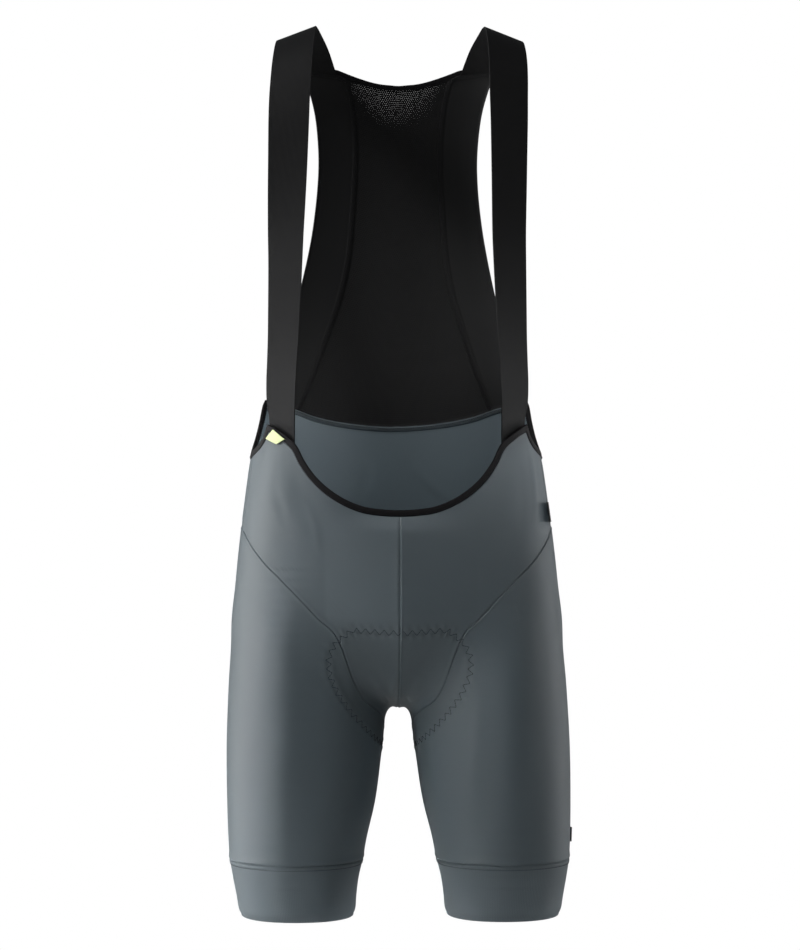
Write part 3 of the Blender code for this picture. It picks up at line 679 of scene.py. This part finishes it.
seamForms = {  # how the cloth dips at its edge, then swells over the allowance beneath
    "sunk": {"dip": 0.0006, "dipWidth": 0.0010, "swell": 0.00012, "swellAt": 0.0030, "swellWidth": 0.0016},
    "raised": {"dip": 0.0007, "dipWidth": 0.0005, "swell": 0.00028, "swellAt": 0.0015, "swellWidth": 0.0009},
    "edged": {"dip": 0.0004, "dipWidth": 0.0004, "swell": 0.00026, "swellAt": 0.0012, "swellWidth": 0.0006},
    "overBand": {"dip": 0.0005, "dipWidth": 0.0005, "swell": 0.0006, "swellAt": 0.0020, "swellWidth": 0.0030},
    "bandTop": {"dip": 0.0009, "dipWidth": 0.0006, "swell": 0.0006, "swellAt": 0.0026, "swellWidth": 0.0015},
    "hem": {"dip": 0.0020, "dipWidth": 0.0048, "swell": 0.0, "swellAt": 0.006, "swellWidth": 0.002},
}
bandGroove = {"at": 0.0052, "depth": 0.00034, "width": 0.0005}  # under the cover stitch below a band's seam
cloth = {}
for name, look in panels.items():
    closed = look.get("closed", False)
    outer = clothRows(name, look.get("centre"))[0]
    cloth[name] = {"grid": finer(outer, look["each"], look["near"], closed), "closed": closed}
print("panels read:", sum(part["grid"][..., 0].size for part in cloth.values()), "points")


def skinOf(names):
    # the outer faces of these panels, to set things on
    points, faces = [], []
    for name in names:
        grid = cloth[name]["grid"]
        faces += gridFaces(*grid.shape[:2], len(points)).tolist()
        points += grid.reshape(-1, 3).tolist()
    return BVHTree.FromPolygons(points, faces)


def settle(skin, points):
    # the nearest places on the cloth, and which way the cloth faces there
    found = [skin.find_nearest(Vector(point)) for point in points]
    return (np.array([tuple(hit[k]) for hit in found]) for k in (0, 1))


trunk = [name for name in panels if name.startswith(("front", "back_panel", "leg"))]
flatSkin = skinOf(trunk)

# soft forms of the worn cloth: the ridge down the centre front, creases and the puckers round the pad

ridge = {  # the front stands up to its centre seam like a low tent, narrower towards the crotch
    "slope": 0.135, "power": 1.25, "levels": (-0.705, -0.610), "reaches": (0.032, 0.078),
    "top": -0.503, "full": -0.528, "fade": -0.692, "end": -0.7115,
}
creases = [  # in mm, seen from the front or back: where each starts, passes and ends, lift and half width
    ("front", (-5, -668), (-6.5, -680), (-10, -692), 0.9, 2.8),
    ("front", (-33, -664), (-21, -686), (-13, -704), 1.4, 8),
    ("front", (-17, -694), (-14, -699), (-11, -704), -0.7, 2.2),
    ("front", (24, -672), (17, -690), (12, -704), 1.4, 7),
    ("front", (8, -694), (9, -700), (12, -706), -0.7, 2),
    ("front", (-129, -470), (-124, -500), (-112, -528), -0.6, 6),
    ("front", (-100, -490), (-88, -520), (-84, -550), 0.6, 4.5),
    ("front", (134, -440), (139, -480), (140, -520), 1, 6),
    ("front", (120, -452), (125, -490), (123, -530), -0.6, 7),
    ("front", (-121, -560), (-119, -720), (-116, -900), 4.2, 24),
    ("front", (113, -600), (113, -740), (110, -900), 4.2, 24),
    ("front", (88, -660), (76, -740), (74, -800), 0.6, 7),
    ("front", (-45, -750), (-64, -800), (-79, -850), -0.5, 8),
    ("back", (-30, -450), (-34, -480), (-52, -505), -1.1, 6),
    ("back", (20, -455), (38, -480), (64, -497), -0.9, 5),
    ("back", (-30, -742), (-60, -752), (-95, -750), -1.6, 6.5),
    ("back", (28, -748), (56, -759), (88, -762), -1.4, 5.5),
    ("back", (-56, -820), (-86, -832), (-120, -828), -1, 6),
    ("back", (62, -828), (90, -838), (115, -842), -0.9, 5),
    ("back", (-127, -560), (-118, -600), (-100, -640), -0.8, 8),
    ("back", (131, -575), (120, -612), (105, -645), -0.7, 7),
]
creaseForm = {"reach": 2.6, "taper": 0.8}  # how many half widths it reaches, and how blunt its ends are
padSeam = {
    "pitch": 0.0093, "width": 0.0060, "eachSide": 3, "perPoint": 8, "evened": 10,
    "radius": 0.00027, "sides": 5, "fill": 0.96, "bow": 0.7,
    "reach": 0.011, "pull": 0.0006, "pullWidth": 0.0026, "puff": 0.00065, "puffWidth": 0.0030,
    "puffAt": 0.0036, "puffBase": 0.35, "puffMost": 1.2,
}
atOnce = 4000  # points compared with a line in one go


def surfaceLine(side, start, through, end, steps=28):
    # a curve over the cloth, given by three places seen from the front or back
    t = np.linspace(0, 1, steps + 1)[:, None]
    middle = 2 * through - (start + end) / 2
    plan = (1 - t) ** 2 * start + 2 * t * (1 - t) * middle + t * t * end
    way = Vector((0, 1 if side == "front" else -1, 0))
    found = []
    for x, z in plan:
        hit = flatSkin.ray_cast(Vector((x, -way[1], z)), way)[0]
        if hit:
            found.append(tuple(hit))
    return np.array(found)


def nearestOn(line, points, reach):
    # which of the points are within reach of a line, how far off, and by which of its places
    inside = np.all((points > line.min(0) - reach) & (points < line.max(0) + reach), axis=1)
    chosen = np.flatnonzero(inside)
    gaps, spots = np.zeros(len(chosen)), np.zeros(len(chosen), int)
    for k in range(0, len(chosen), atOnce):
        away = np.linalg.norm(points[chosen[k : k + atOnce], None] - line[None], axis=-1)
        gaps[k : k + atOnce], spots[k : k + atOnce] = away.min(1), away.argmin(1)
    return chosen, gaps, spots


padOuter, padInner = clothRows("seat_pad", (0, 0.01, -0.50))
padEdge = np.concatenate([padOuter[0], padOuter[1:, -1], padOuter[-1, -2::-1], padOuter[-2::-1, 0]])
padRun = runOf(padEdge)
padPoints = round(padRun[-1] / padSeam["pitch"]) * 2
perPoint = padSeam["perPoint"]
padPlaces = np.linspace(0, padRun[-1], padPoints * perPoint + 1)[:-1]
padLine, padFacing = settle(flatSkin, readAt(padEdge, padRun, padPlaces))
padAcross = unit(np.cross(padFacing, np.roll(padLine, -1, 0) - np.roll(padLine, 1, 0)))
padSwing = 1 - 2 * abs((np.arange(len(padLine)) / perPoint) % 2 - 1)  # from -1 to 1 and back
creaseLines = [
    (surfaceLine(side, *(np.array(place) / 1000 for place in path)), height / 1000, width / 1000)
    for side, *path, height, width in creases
]


def softLift(points):
    lift = np.zeros(len(points))
    x, y, z = points.T
    rise = np.clip((z - ridge["top"]) / (ridge["full"] - ridge["top"]), 0, 1)
    fall = np.clip((z - ridge["end"]) / (ridge["fade"] - ridge["end"]), 0, 1)
    strength = eased(rise * fall)
    reach = np.interp(z, ridge["levels"], ridge["reaches"])
    tent = ridge["slope"] * reach * np.clip(1 - abs(x) / reach, 0, 1) ** ridge["power"]
    lift += np.where(y < 0, tent * strength, 0)
    for line, height, width in creaseLines:
        chosen, gaps, spots = nearestOn(line, points, creaseForm["reach"] * width)
        taper = np.sin(np.pi * spots / (len(line) - 1)) ** creaseForm["taper"]
        lift[chosen] += height * taper * bell(gaps, width)
    chosen, gaps, spots = nearestOn(padLine, points, padSeam["reach"])
    side = np.sign(((points[chosen] - padLine[spots]) * padAcross[spots]).sum(-1))
    puff = np.clip(padSeam["puffBase"] - padSwing[spots] * side, 0, padSeam["puffMost"])
    puff = puff * bell(gaps - padSeam["puffAt"], padSeam["puffWidth"])
    lift[chosen] += padSeam["puff"] * puff - padSeam["pull"] * bell(gaps, padSeam["pullWidth"])
    return lift


crotch = {"drop": 0.0030, "level": -0.7085, "depth": 0.0065, "half": 0.0060}
backSeam = {"slope": 0.155, "half": 0.018, "level": -0.424, "depth": 0.018, "behind": 0.02}


def softShift(grid):
    # the top of the gap between the legs is flat, and the back waist seam bends softly at its middle
    x, y, z = np.moveaxis(grid, -1, 0)
    drop = crotch["drop"] * bell(x, crotch["half"]) * bell(z - crotch["level"], crotch["depth"])
    lift = backSeam["slope"] * backSeam["half"] * np.exp(-abs(x) / backSeam["half"])
    lift = lift * bell(z - backSeam["level"], backSeam["depth"]) * (y > backSeam["behind"])
    return np.stack([x * 0, x * 0, lift - drop], -1)


strapTwist = {  # degrees for each strap, and the levels between which it turns
    "strap_right": 14.0, "strap_left": 2.0, "levels": (-0.26, -0.12, -0.015), "ahead": 0.02,
}


def twisted(grid, degrees):
    # turns the front of a strap inwards a little, row by row, where it comes down off the shoulder
    centre = grid.mean(axis=1, keepdims=True)
    share = eased(np.interp(centre[..., 2], strapTwist["levels"], (0, 1, 0)))
    angle = np.radians(degrees) * share * np.clip(-centre[..., 1] / strapTwist["ahead"], 0, 1)
    x, y = grid[..., 0] - centre[..., 0], grid[..., 1] - centre[..., 1]
    plan = np.stack([x * np.cos(angle) - y * np.sin(angle), x * np.sin(angle) + y * np.cos(angle)], -1)
    return np.concatenate([plan + centre[..., :2], grid[..., 2:]], -1)


for name, look in panels.items():
    part = cloth[name]
    grid = part["grid"] if name not in strapTwist else twisted(part["grid"], strapTwist[name])
    facing, away = outwards(grid, part["closed"]), distances(grid)
    lift = np.zeros(grid.shape[:2])
    if name in trunk:
        lift += softLift(grid.reshape(-1, 3)).reshape(lift.shape)
    for edge, kind in look["seams"].items():
        form, gap = seamForms[kind], away[edge]
        lift -= form["dip"] * bell(gap, form["dipWidth"])
        lift += form["swell"] * bell(gap - form["swellAt"], form["swellWidth"])
    if "gripper" in name:
        lift -= bandGroove["depth"] * bell(away["top"] - bandGroove["at"], bandGroove["width"])
    part["grid"] = grid + facing * lift[..., None] + softShift(grid)
    part["facing"] = outwards(part["grid"], part["closed"])
print("creases and puckers set:", len(creases), "creases,", padPoints // 2, "zigzags")

for name, look in panels.items():
    piece = clothMesh(name + "_cloth", cloth[name]["grid"], look["finish"], cloth[name]["closed"])
    area = sum(face.area for face in piece.data.polygons)
    thicken(piece, look["thickness"])
    attach(piece, [name])
    print("panel:", name, cloth[name]["grid"].shape, "area", round(area, 4))
skin = skinOf(trunk)

# thread, seam allowances and edgings

threadEnd = 0.45  # of its full radius
threadGirth = 0.002  # its texture's width round it


def threads(name, paths, facing, look, material):
    # short runs of thread, each of the same number of points, as one joined mesh
    count, points = paths.shape[:2]
    sides = look["sides"]
    along = unit(np.gradient(paths, axis=1))
    side = unit(np.cross(along, facing))
    up = np.cross(side, along)
    turn = np.arange(sides) * 2 * math.pi / sides
    thick = np.full(points, look["radius"])
    thick[[0, -1]] *= threadEnd
    spokes = np.cos(turn)[:, None] * side[:, :, None] + np.sin(turn)[:, None] * up[:, :, None]
    rings = paths[:, :, None] + thick[:, None, None] * spokes
    number = np.arange(count * points * sides).reshape(count, points, sides)
    after = np.roll(number, -1, 2)
    quads = np.stack([number[:, :-1], number[:, 1:], after[:, 1:], after[:, :-1]], -1).reshape(-1, 4)
    ends = number[:, 0].tolist() + number[:, -1, ::-1].tolist()
    run = runOf(paths.swapaxes(0, 1)).T
    around = np.broadcast_to(turn / (2 * math.pi) * threadGirth, number.shape)
    uvs = np.stack([around, np.broadcast_to(run[..., None], number.shape)], -1).reshape(-1, 2)
    attach(meshOf(name, rings.reshape(-1, 3), quads.tolist() + ends, uvs, material))


stitchBow = np.array([-0.9, 0.55, 0.95, 0.55, -0.9])  # a stitch's height over the cloth, in thread radii


def stitchPaths(starts, ends, facing, radius):
    # one stitch from each start to each end, bowed over the cloth
    t = np.linspace(0, 1, len(stitchBow))[:, None]
    middle = starts[:, None] * (1 - t) + ends[:, None] * t
    ups = np.repeat(facing[:, None], len(stitchBow), 1)
    return middle + ups * (stitchBow * radius)[:, None], ups


def rowOfStitches(name, line, facing, look, material):
    # even stitches along a line on the cloth, with a little gap between them
    run = runOf(line)
    count = int(run[-1] / look["pitch"])
    at = np.arange(count) * run[-1] / count
    starts, ends = readAt(line, run, at), readAt(line, run, at + look["pitch"] * look["fill"])
    up = unit(readAt(facing, run, at + look["pitch"] / 2))
    paths, ups = stitchPaths(starts, ends, up, look["radius"])
    threads(name, paths, ups, look, material)


turnTo = {
    "top": lambda grid: grid,
    "bottom": lambda grid: grid[::-1],
    "left": lambda grid: grid.swapaxes(0, 1),
    "right": lambda grid: grid.swapaxes(0, 1)[::-1],
}
nearRows = 30  # as far in from an edge as anything is sewn


def beside(name, edge, away):
    # the line on a panel's outer face that far in from one of its edges, and which way it faces
    grid, facing = (turnTo[edge](cloth[name][key])[:nearRows] for key in ("grid", "facing"))
    if away <= 0:
        return grid[0] + unit(grid[1] - grid[0]) * away, facing[0]
    run = runOf(grid)
    columns = range(grid.shape[1])
    line, up = (
        np.stack([readAt(rows[:, j], run[:, j], [away])[0] for j in columns]) for rows in (grid, facing)
    )
    return line, unit(up)


def tubeMesh(name, sections, material, ringed=False):
    # a closed skin over sections that each go round once; ringed where the last one is the first again
    piece = clothMesh(name, sections, material)
    inEdit(piece, *([mergeDoubles, facesOut] if ringed else [mergeDoubles, fillEnds, facesOut]))
    bpy.ops.object.shade_smooth_by_angle(angle=math.radians(smoothUnder["tube"]))
    return piece


allowanceForm = [  # across as shares of the overlap, width and thickness; depth as a share of the thickness
    (-1, 0, 0, 0), (0, 0.4, 0, 0), (0, 1, -0.3, 0), (0, 1, 0, 0.35), (0, 1, 0, 0.7), (0, 1, -0.35, 1),
    (0, 0.4, 0, 0.92), (-0.75, 0, 0, 0.9), (-1.25, 0, 0, 0.45),
]
innerLine, faceLine, seamLine = 1, 6, 7  # against the panel, on the face and beside the seam
loopForm = [(seamLine, 0.0), (faceLine, 0.3), (5, 0.8), (3, 1.0), (2, 1.2)]  # each line it crosses; slant
loopPlace = {"first": 0.25, "slant": 0.45, "out": 0.6}
needleRow = {"pitch": 0.0024, "fill": 0.86, "face": 0.6}


def allowance(name, panel, edge, look):
    # the overlocked cloth inside a seam, lying on one panel, with its needle row and its loops
    base = panels[panel]["thickness"] + look["clear"]
    wide, thick = look["width"], look["thick"]
    lines = []
    for over, width, slim, deep in allowanceForm + allowanceForm[:1]:
        line, facing = beside(panel, edge, over * look["over"] + width * wide + slim * thick)
        lines.append(line - facing * (base + deep * thick))
    ringed = cloth[panel]["closed"] and edge in ("top", "bottom")
    attach(tubeMesh(name, np.stack(lines), look["cloth"], ringed))
    facing = -beside(panel, edge, 0.5 * wide)[1]
    run = runOf(lines[faceLine])
    count = int(run[-1] / look["pitch"])
    at = (np.arange(count) + loopPlace["first"]) * run[-1] / count
    up = unit(readAt(facing, run, at))
    middle = (lines[faceLine] + lines[innerLine]) / 2
    path = []
    for k, slant in loopForm:
        moved = at + look["pitch"] * loopPlace["slant"] * slant
        spot, inside = (
            readAt(line, runOf(line) * run[-1] / runOf(line)[-1], moved) for line in (lines[k], middle)
        )
        out = up if k in (seamLine, faceLine) else unit(spot - inside)
        path.append(spot + out * look["radius"] * loopPlace["out"])
    ups = np.repeat(up[:, None], len(path), 1)
    threads(name + "_loops", np.stack(path, 1), ups, look, look["yarn"])
    line = lines[faceLine] * needleRow["face"] + lines[seamLine] * (1 - needleRow["face"])
    rowOfStitches(name + "_needle", line, facing, {**look, **needleRow}, look["needle"])
    if "row" in look:  # one more, on the panel itself
        row = look["row"]
        line, facing = beside(panel, edge, row["at"])
        line = line - facing * (panels[panel]["thickness"] + row["clear"])
        rowOfStitches(row["name"], line, -facing, row, look["needle"])


overlock = {
    "width": 0.0048, "thick": 0.0013, "over": 0.0008, "clear": 0.00006, "pitch": 0.0021, "radius": 0.00021,
    "sides": 4, "cloth": slateKnit, "slot": "slate_knit", "yarn": greyThread, "needle": greyThread,
}
blackOverlock = {
    **overlock, "cloth": blackCloth, "slot": "black_knit", "yarn": darkThread, "needle": darkThread,
}
flatLock = {**blackOverlock, "pitch": 0.0016, "thick": 0.0007, "width": 0.0042, "over": 0.0018}
backOverlock = {
    **overlock, "thick": 0.0018, "width": 0.0036, "radius": 0.00034, "pitch": 0.0018, "yarn": paleThread,
    "needle": darkThread,
    "row": {"name": "back_waist_stitches", "pitch": 0.0025, "fill": 0.66, "radius": 0.00050, "sides": 5,
            "at": 0.0046, "clear": 0.0001},
}
seams = [  # each one's name, the panel it lies on inside, that panel's edge and how it is sewn
    ("mesh_seam_right", "back_mesh_panel", "left", flatLock),
    ("mesh_seam_left", "back_mesh_panel", "right", flatLock),
    ("back_waist_seam", "back_panel", "top", backOverlock),
    ("centre_front_seam", "front_panel_right", "right", overlock),
    ("side_seam_right", "front_panel_right", "left", overlock),
    ("side_seam_left", "front_panel_left", "right", overlock),
    ("leg_seam_right", "leg_panel_right", "top", overlock),
    ("leg_seam_left", "leg_panel_left", "top", overlock),
    ("band_seam_right", "leg_gripper_right", "top", overlock),
    ("band_seam_left", "leg_gripper_left", "top", overlock),
    ("shoulder_seam_right", "side_back_panel_right", "top", blackOverlock),
    ("shoulder_seam_left", "side_back_panel_left", "top", blackOverlock),
]
for seam in seams:
    allowance(*seam)
print("inside seams sewn")

# the zigzag that holds the pad, over panels and seams alike

probe = {"out": 0.009, "far": 0.014}
shifts = (-1, 0, 1)  # each point with its two neighbours


def bridged(points, facing):
    # those places on the cloth, straight over the dips at seams
    heights = []
    for point, up in zip(points, facing):
        hit = skin.ray_cast(Vector(point + up * probe["out"]), Vector(-up), probe["far"])[0]
        heights.append(0.0 if hit is None else float((np.array(hit) - point) @ up))
    heights = np.max([np.roll(heights, k) for k in shifts], axis=0)
    heights = np.mean([np.roll(heights, k) for k in shifts], axis=0)
    return points + facing * heights[:, None]


evenFacing = unit(sum(np.roll(padFacing, k, 0) for k in range(-padSeam["evened"], padSeam["evened"] + 1)))
corners = (padLine + padAcross * (padSwing * padSeam["width"] / 2)[:, None])[::perPoint]
cornerFacing = evenFacing[::perPoint]
steps = np.arange(padSeam["eachSide"])[:, None] / padSeam["eachSide"]
points, facing = (
    (ends[:, None] * (1 - steps) + np.roll(ends, -1, 0)[:, None] * steps).reshape(-1, 3)
    for ends in (corners, cornerFacing)
)
facing = unit(facing)
starts = bridged(points, facing)
stops = starts + (np.roll(starts, -1, 0) - starts) * padSeam["fill"]
paths, ups = stitchPaths(starts, stops, facing, padSeam["radius"] * padSeam["bow"])
threads("pad_zigzag", paths, ups, padSeam, zigzagThread)

coverStitch = {"pitch": 0.0020, "fill": 0.58, "radius": 0.00034, "sides": 5}
for side in ("right", "left"):
    line, facing = beside("leg_gripper_" + side, "top", bandGroove["at"])
    rowOfStitches("band_stitches_" + side, line, facing, coverStitch, zigzagThread)
print("outside stitches sewn")

edgingForm = {
    "each": 6, "sides": 16, "squareness": 3.2, "fullThick": 0.6, "fullWide": 0.3,
    "stitchAt": 0.62, "stitchOut": 0.99, "row": {"pitch": 0.0026, "fill": 0.78, "radius": 0.0002, "sides": 5},
}
edgings = {
    "waist_edging": {
        "node": "waist_binding", "centre": (0, 0, -0.6), "longer": 0.006, "lower": 0, "taper": 0.012,
        "tip": 0.5, "fuller": (-0.055, -0.020),  # fuller where it turns to the back
    },
    "neck_edging": {
        "node": "neck_binding", "centre": (0, -0.1, -0.2), "longer": 0.007, "lower": 0.0012, "taper": 0.006,
        "tip": 0.8, "fuller": (1, 2),  # nowhere
    },
}


def longerLine(line, by):
    # on past its last points, to meet what it is sewn to
    first, last = line[0] + unit(line[0] - line[2]) * by, line[-1] + unit(line[-1] - line[-3]) * by
    return np.concatenate([[first], line, [last]])


def edgingMesh(name, look):
    # a folded edging: a rounded section along the band's four edge lines
    form = edgingForm
    outer, inner = clothRows(look["node"], look["centre"])
    at = places(outer.shape[1] - 1, form["each"])
    lines = [longerLine(smoothAlong(line, at), look["longer"]) for line in (*outer[:2], *inner[:2])]
    middle = sum(lines) / 4
    half = (lines[1] + lines[3] - lines[0] - lines[2]) / 4
    thick = (lines[0] + lines[1] - lines[2] - lines[3]) / 4
    wider = unit(half) * look["lower"] / 2
    middle, half = middle + wider, half + wider
    run = runOf(middle)
    end = np.clip(np.minimum(run, run[-1] - run) / look["taper"], 0, 1)[:, None]
    shrink = 1 - (1 - look["tip"]) * (1 - end) ** 2
    start, full = look["fuller"]
    inside = end * np.clip((middle[:, 1:2] - start) / (full - start), 0, 1)
    middle = middle + half * (1 - shrink) - thick * form["fullThick"] * inside
    half, thick = half * shrink * (1 + form["fullWide"] * inside), thick * (1 + form["fullThick"] * inside)
    rings = []
    for turn in np.linspace(0, 2 * math.pi, form["sides"] + 1):
        flat, deep = (math.copysign(abs(value) ** (2 / form["squareness"]), value)
                      for value in (math.cos(turn), math.sin(turn)))
        rings.append(middle + half * flat + thick * deep)
    attach(tubeMesh(name, np.stack(rings), edgingCloth), [look["node"]])
    up = unit(thick)
    for face, sign in (("outer", 1), ("inner", -1)):
        line = middle + half * form["stitchAt"] + thick * sign * form["stitchOut"]
        rowOfStitches(name + "_" + face + "_row", line, up * sign, form["row"], darkThread)


for name, look in edgings.items():
    edgingMesh(name, look)
print("edgings made")

# the seat pad: a crowned foam form, its channels pressed into the face that the wearer sits on

pad = {
    "each": 4, "rimBulge": 0.0007, "swell": 0.0006, "channelDeep": 0.30, "channelMost": 0.0030,
    "channelFade": 0.10,
    "channels": [  # how far across at the front, middle and back; half width; from where to where along
        (0.00, 0.00, 0.00, 0.050, 0.30, 0.97),
        (0.30, 0.36, 0.24, 0.045, 0.05, 0.95),
        (0.72, 0.66, 0.62, 0.040, 0.22, 0.90),
    ],
}


def padMesh(name, outer, inner, look):
    outer, inner = (finer(grid, (look["each"], look["each"])) for grid in (outer, inner))
    rows, columns = outer.shape[:2]
    deep = inner - outer
    v = np.linspace(0, 1, rows)[:, None]
    u = abs(np.linspace(-1, 1, columns))[None]
    press = np.zeros((rows, columns))
    for front, middle, back, wide, start, end in look["channels"]:
        line = (1 - v) * (1 - 2 * v) * front + 4 * v * (1 - v) * middle + v * (2 * v - 1) * back
        fade = np.clip(np.array((v - start, end - v)) / look["channelFade"], 0, 1).prod(axis=0)
        press = np.maximum(press, bell(u - line, wide) * fade)
    thick = np.linalg.norm(deep, axis=-1)
    cut = np.minimum(thick * look["channelDeep"], look["channelMost"]) * press
    puff = look["swell"] * (1 - press) * np.clip(thick / thick.max(), 0, 1) ** 2
    inner = inner + unit(deep) * (puff - cut)[..., None]
    rim = (outer + inner) / 2
    down, across = np.gradient(rim, axis=0), np.gradient(rim, axis=1)
    push = np.zeros_like(rim)
    push[0], push[-1] = -unit(down[0]), unit(down[-1])
    push[:, 0] -= unit(across[:, 0])
    push[:, -1] += unit(across[:, -1])
    number, quads = np.arange(rows * columns).reshape(rows, columns), gridFaces(rows, columns)
    border = np.concatenate([number[0, :-1], number[:-1, -1], number[-1, :0:-1], number[:0:-1, 0]])
    bulge = (rim + unit(push) * look["rimBulge"]).reshape(-1, 3)[border]
    size = rows * columns  # points in one face of the pad
    ring = np.arange(len(border)) + 2 * size
    following, ringNext = np.roll(border, -1), np.roll(ring, -1)
    faces = quads.tolist() + (quads[:, ::-1] + size).tolist()
    faces += np.stack([border, following, ringNext, ring], -1).tolist()
    faces += np.stack([ring, ringNext, following + size, border + size], -1).tolist()
    points = np.concatenate([outer.reshape(-1, 3), inner.reshape(-1, 3), bulge])
    wide, tall = runOf(outer.swapaxes(0, 1))[-1].mean(), runOf(outer)[-1].mean()
    uvs = np.stack(np.meshgrid(np.linspace(0, wide, columns), np.linspace(0, tall, rows)), -1).reshape(-1, 2)
    uvs = np.concatenate([uvs, uvs, uvs[border]])
    piece = meshOf(name, points, faces, uvs, padFleece)
    inEdit(piece, facesOut)
    attach(piece, ["seat_pad"])


padMesh("seat_pad_foam", padOuter, padInner, pad)
print("pad made")

# folded tapes: the label at the strap's foot and the two plain tabs

tapes = {
    "waist_label": {
        "start": "top", "centre": (0, 0, -0.43), "finish": paleTape, "slot": "pale_label",
        "flat": (0.0190, 0.0245),
        "swing": {
            "left": ((-0.0022, -0.0018), (0.0018, 0.0001)),  # sideways and up, at the lower and upper corner
            "right": ((-0.0017, 0.0019), (0.0018, 0)),
            "proud": ((0.0015, 0.0004), (0.0006, 0.0)),  # how far out those corners stand, left and right
        },
    },
    "hip_tab": {"start": "right", "centre": (0, 0, -0.5), "finish": blackCloth, "slot": "black_knit",
                "flat": (0.0208, 0.0370)},
    "leg_tag": {"start": "right", "centre": (0.10, 0, -0.85), "finish": blackCloth, "slot": "black_knit",
                "flat": (0.0150, 0.0136)},
}
tapeCloth = {"thickness": 0.00035, "bow": 0.00025, "fold": 6, "each": 5}
feeler = {"ahead": -0.3, "below": 0.003, "reach": 0.003}  # rays that find how the cloth behind it slopes


def overTape(left, right, t, across):
    # values at the lower and upper corners of both sides, spread over a tape
    first, last = ((1 - across) * lower + across * upper for lower, upper in (left, right))
    return (1 - t) * first + t * last


def clothDepth(x, z):
    return skin.ray_cast(Vector((x, feeler["ahead"], z)), Vector((0, 1, 0)))[0][1]


def swung(inner, swing, t):
    # hangs a little askew, over the cloth beside it
    across = np.linspace(0, 1, inner.shape[1])[None, :, None]
    moved = overTape(np.array(swing["left"]), np.array(swing["right"]), t, across)
    stand = overTape(*swing["proud"], t, across)
    x, _, z = inner[-1].mean(0)
    z, by = z - feeler["below"], feeler["reach"]
    slope = [clothDepth(x + by, z) - clothDepth(x - by, z), clothDepth(x, z + by) - clothDepth(x, z - by)]
    deeper = moved @ (np.array(slope) / (2 * by))[:, None]
    return np.concatenate([moved[..., :1], deeper - stand, moved[..., 1:]], -1)


def tapeMesh(name, look):
    each = (tapeCloth["each"], tapeCloth["each"])
    outer, inner = (finer(turnTo[look["start"]](grid), each) for grid in clothRows(name, look["centre"]))
    t = np.linspace(0, 1, len(outer))[:, None, None]
    away = unit(outer - inner)
    if "swing" in look:
        shift = swung(inner, look["swing"], t)
        outer, inner = outer + shift, inner + shift
    outer = outer + away * tapeCloth["bow"] * np.sin(np.pi * t)
    middle, half = (outer[-1] + inner[-1]) / 2, (outer[-1] - inner[-1]) / 2
    reach = unit(outer[-1] - outer[-2]) * np.linalg.norm(half, axis=-1, keepdims=True)
    turns = np.linspace(0, math.pi, tapeCloth["fold"] + 1)[1:-1, None, None]
    fold = middle + half * np.cos(turns) + reach * np.sin(turns)
    piece = clothMesh(name + "_tape", np.concatenate([outer, fold, inner[::-1]]), look["finish"])
    thicken(piece, tapeCloth["thickness"])
    attach(piece, [name])


for name, look in tapes.items():
    tapeMesh(name, look)
print("label and tabs made")

counts = {piece.name: sum(len(face.vertices) - 2 for face in piece.data.polygons)
          for piece in bpy.data.objects if piece.type == "MESH" and not piece.hide_render}
print("triangles:", sum(counts.values()), "most in", max(counts, key=counts.get), max(counts.values()))
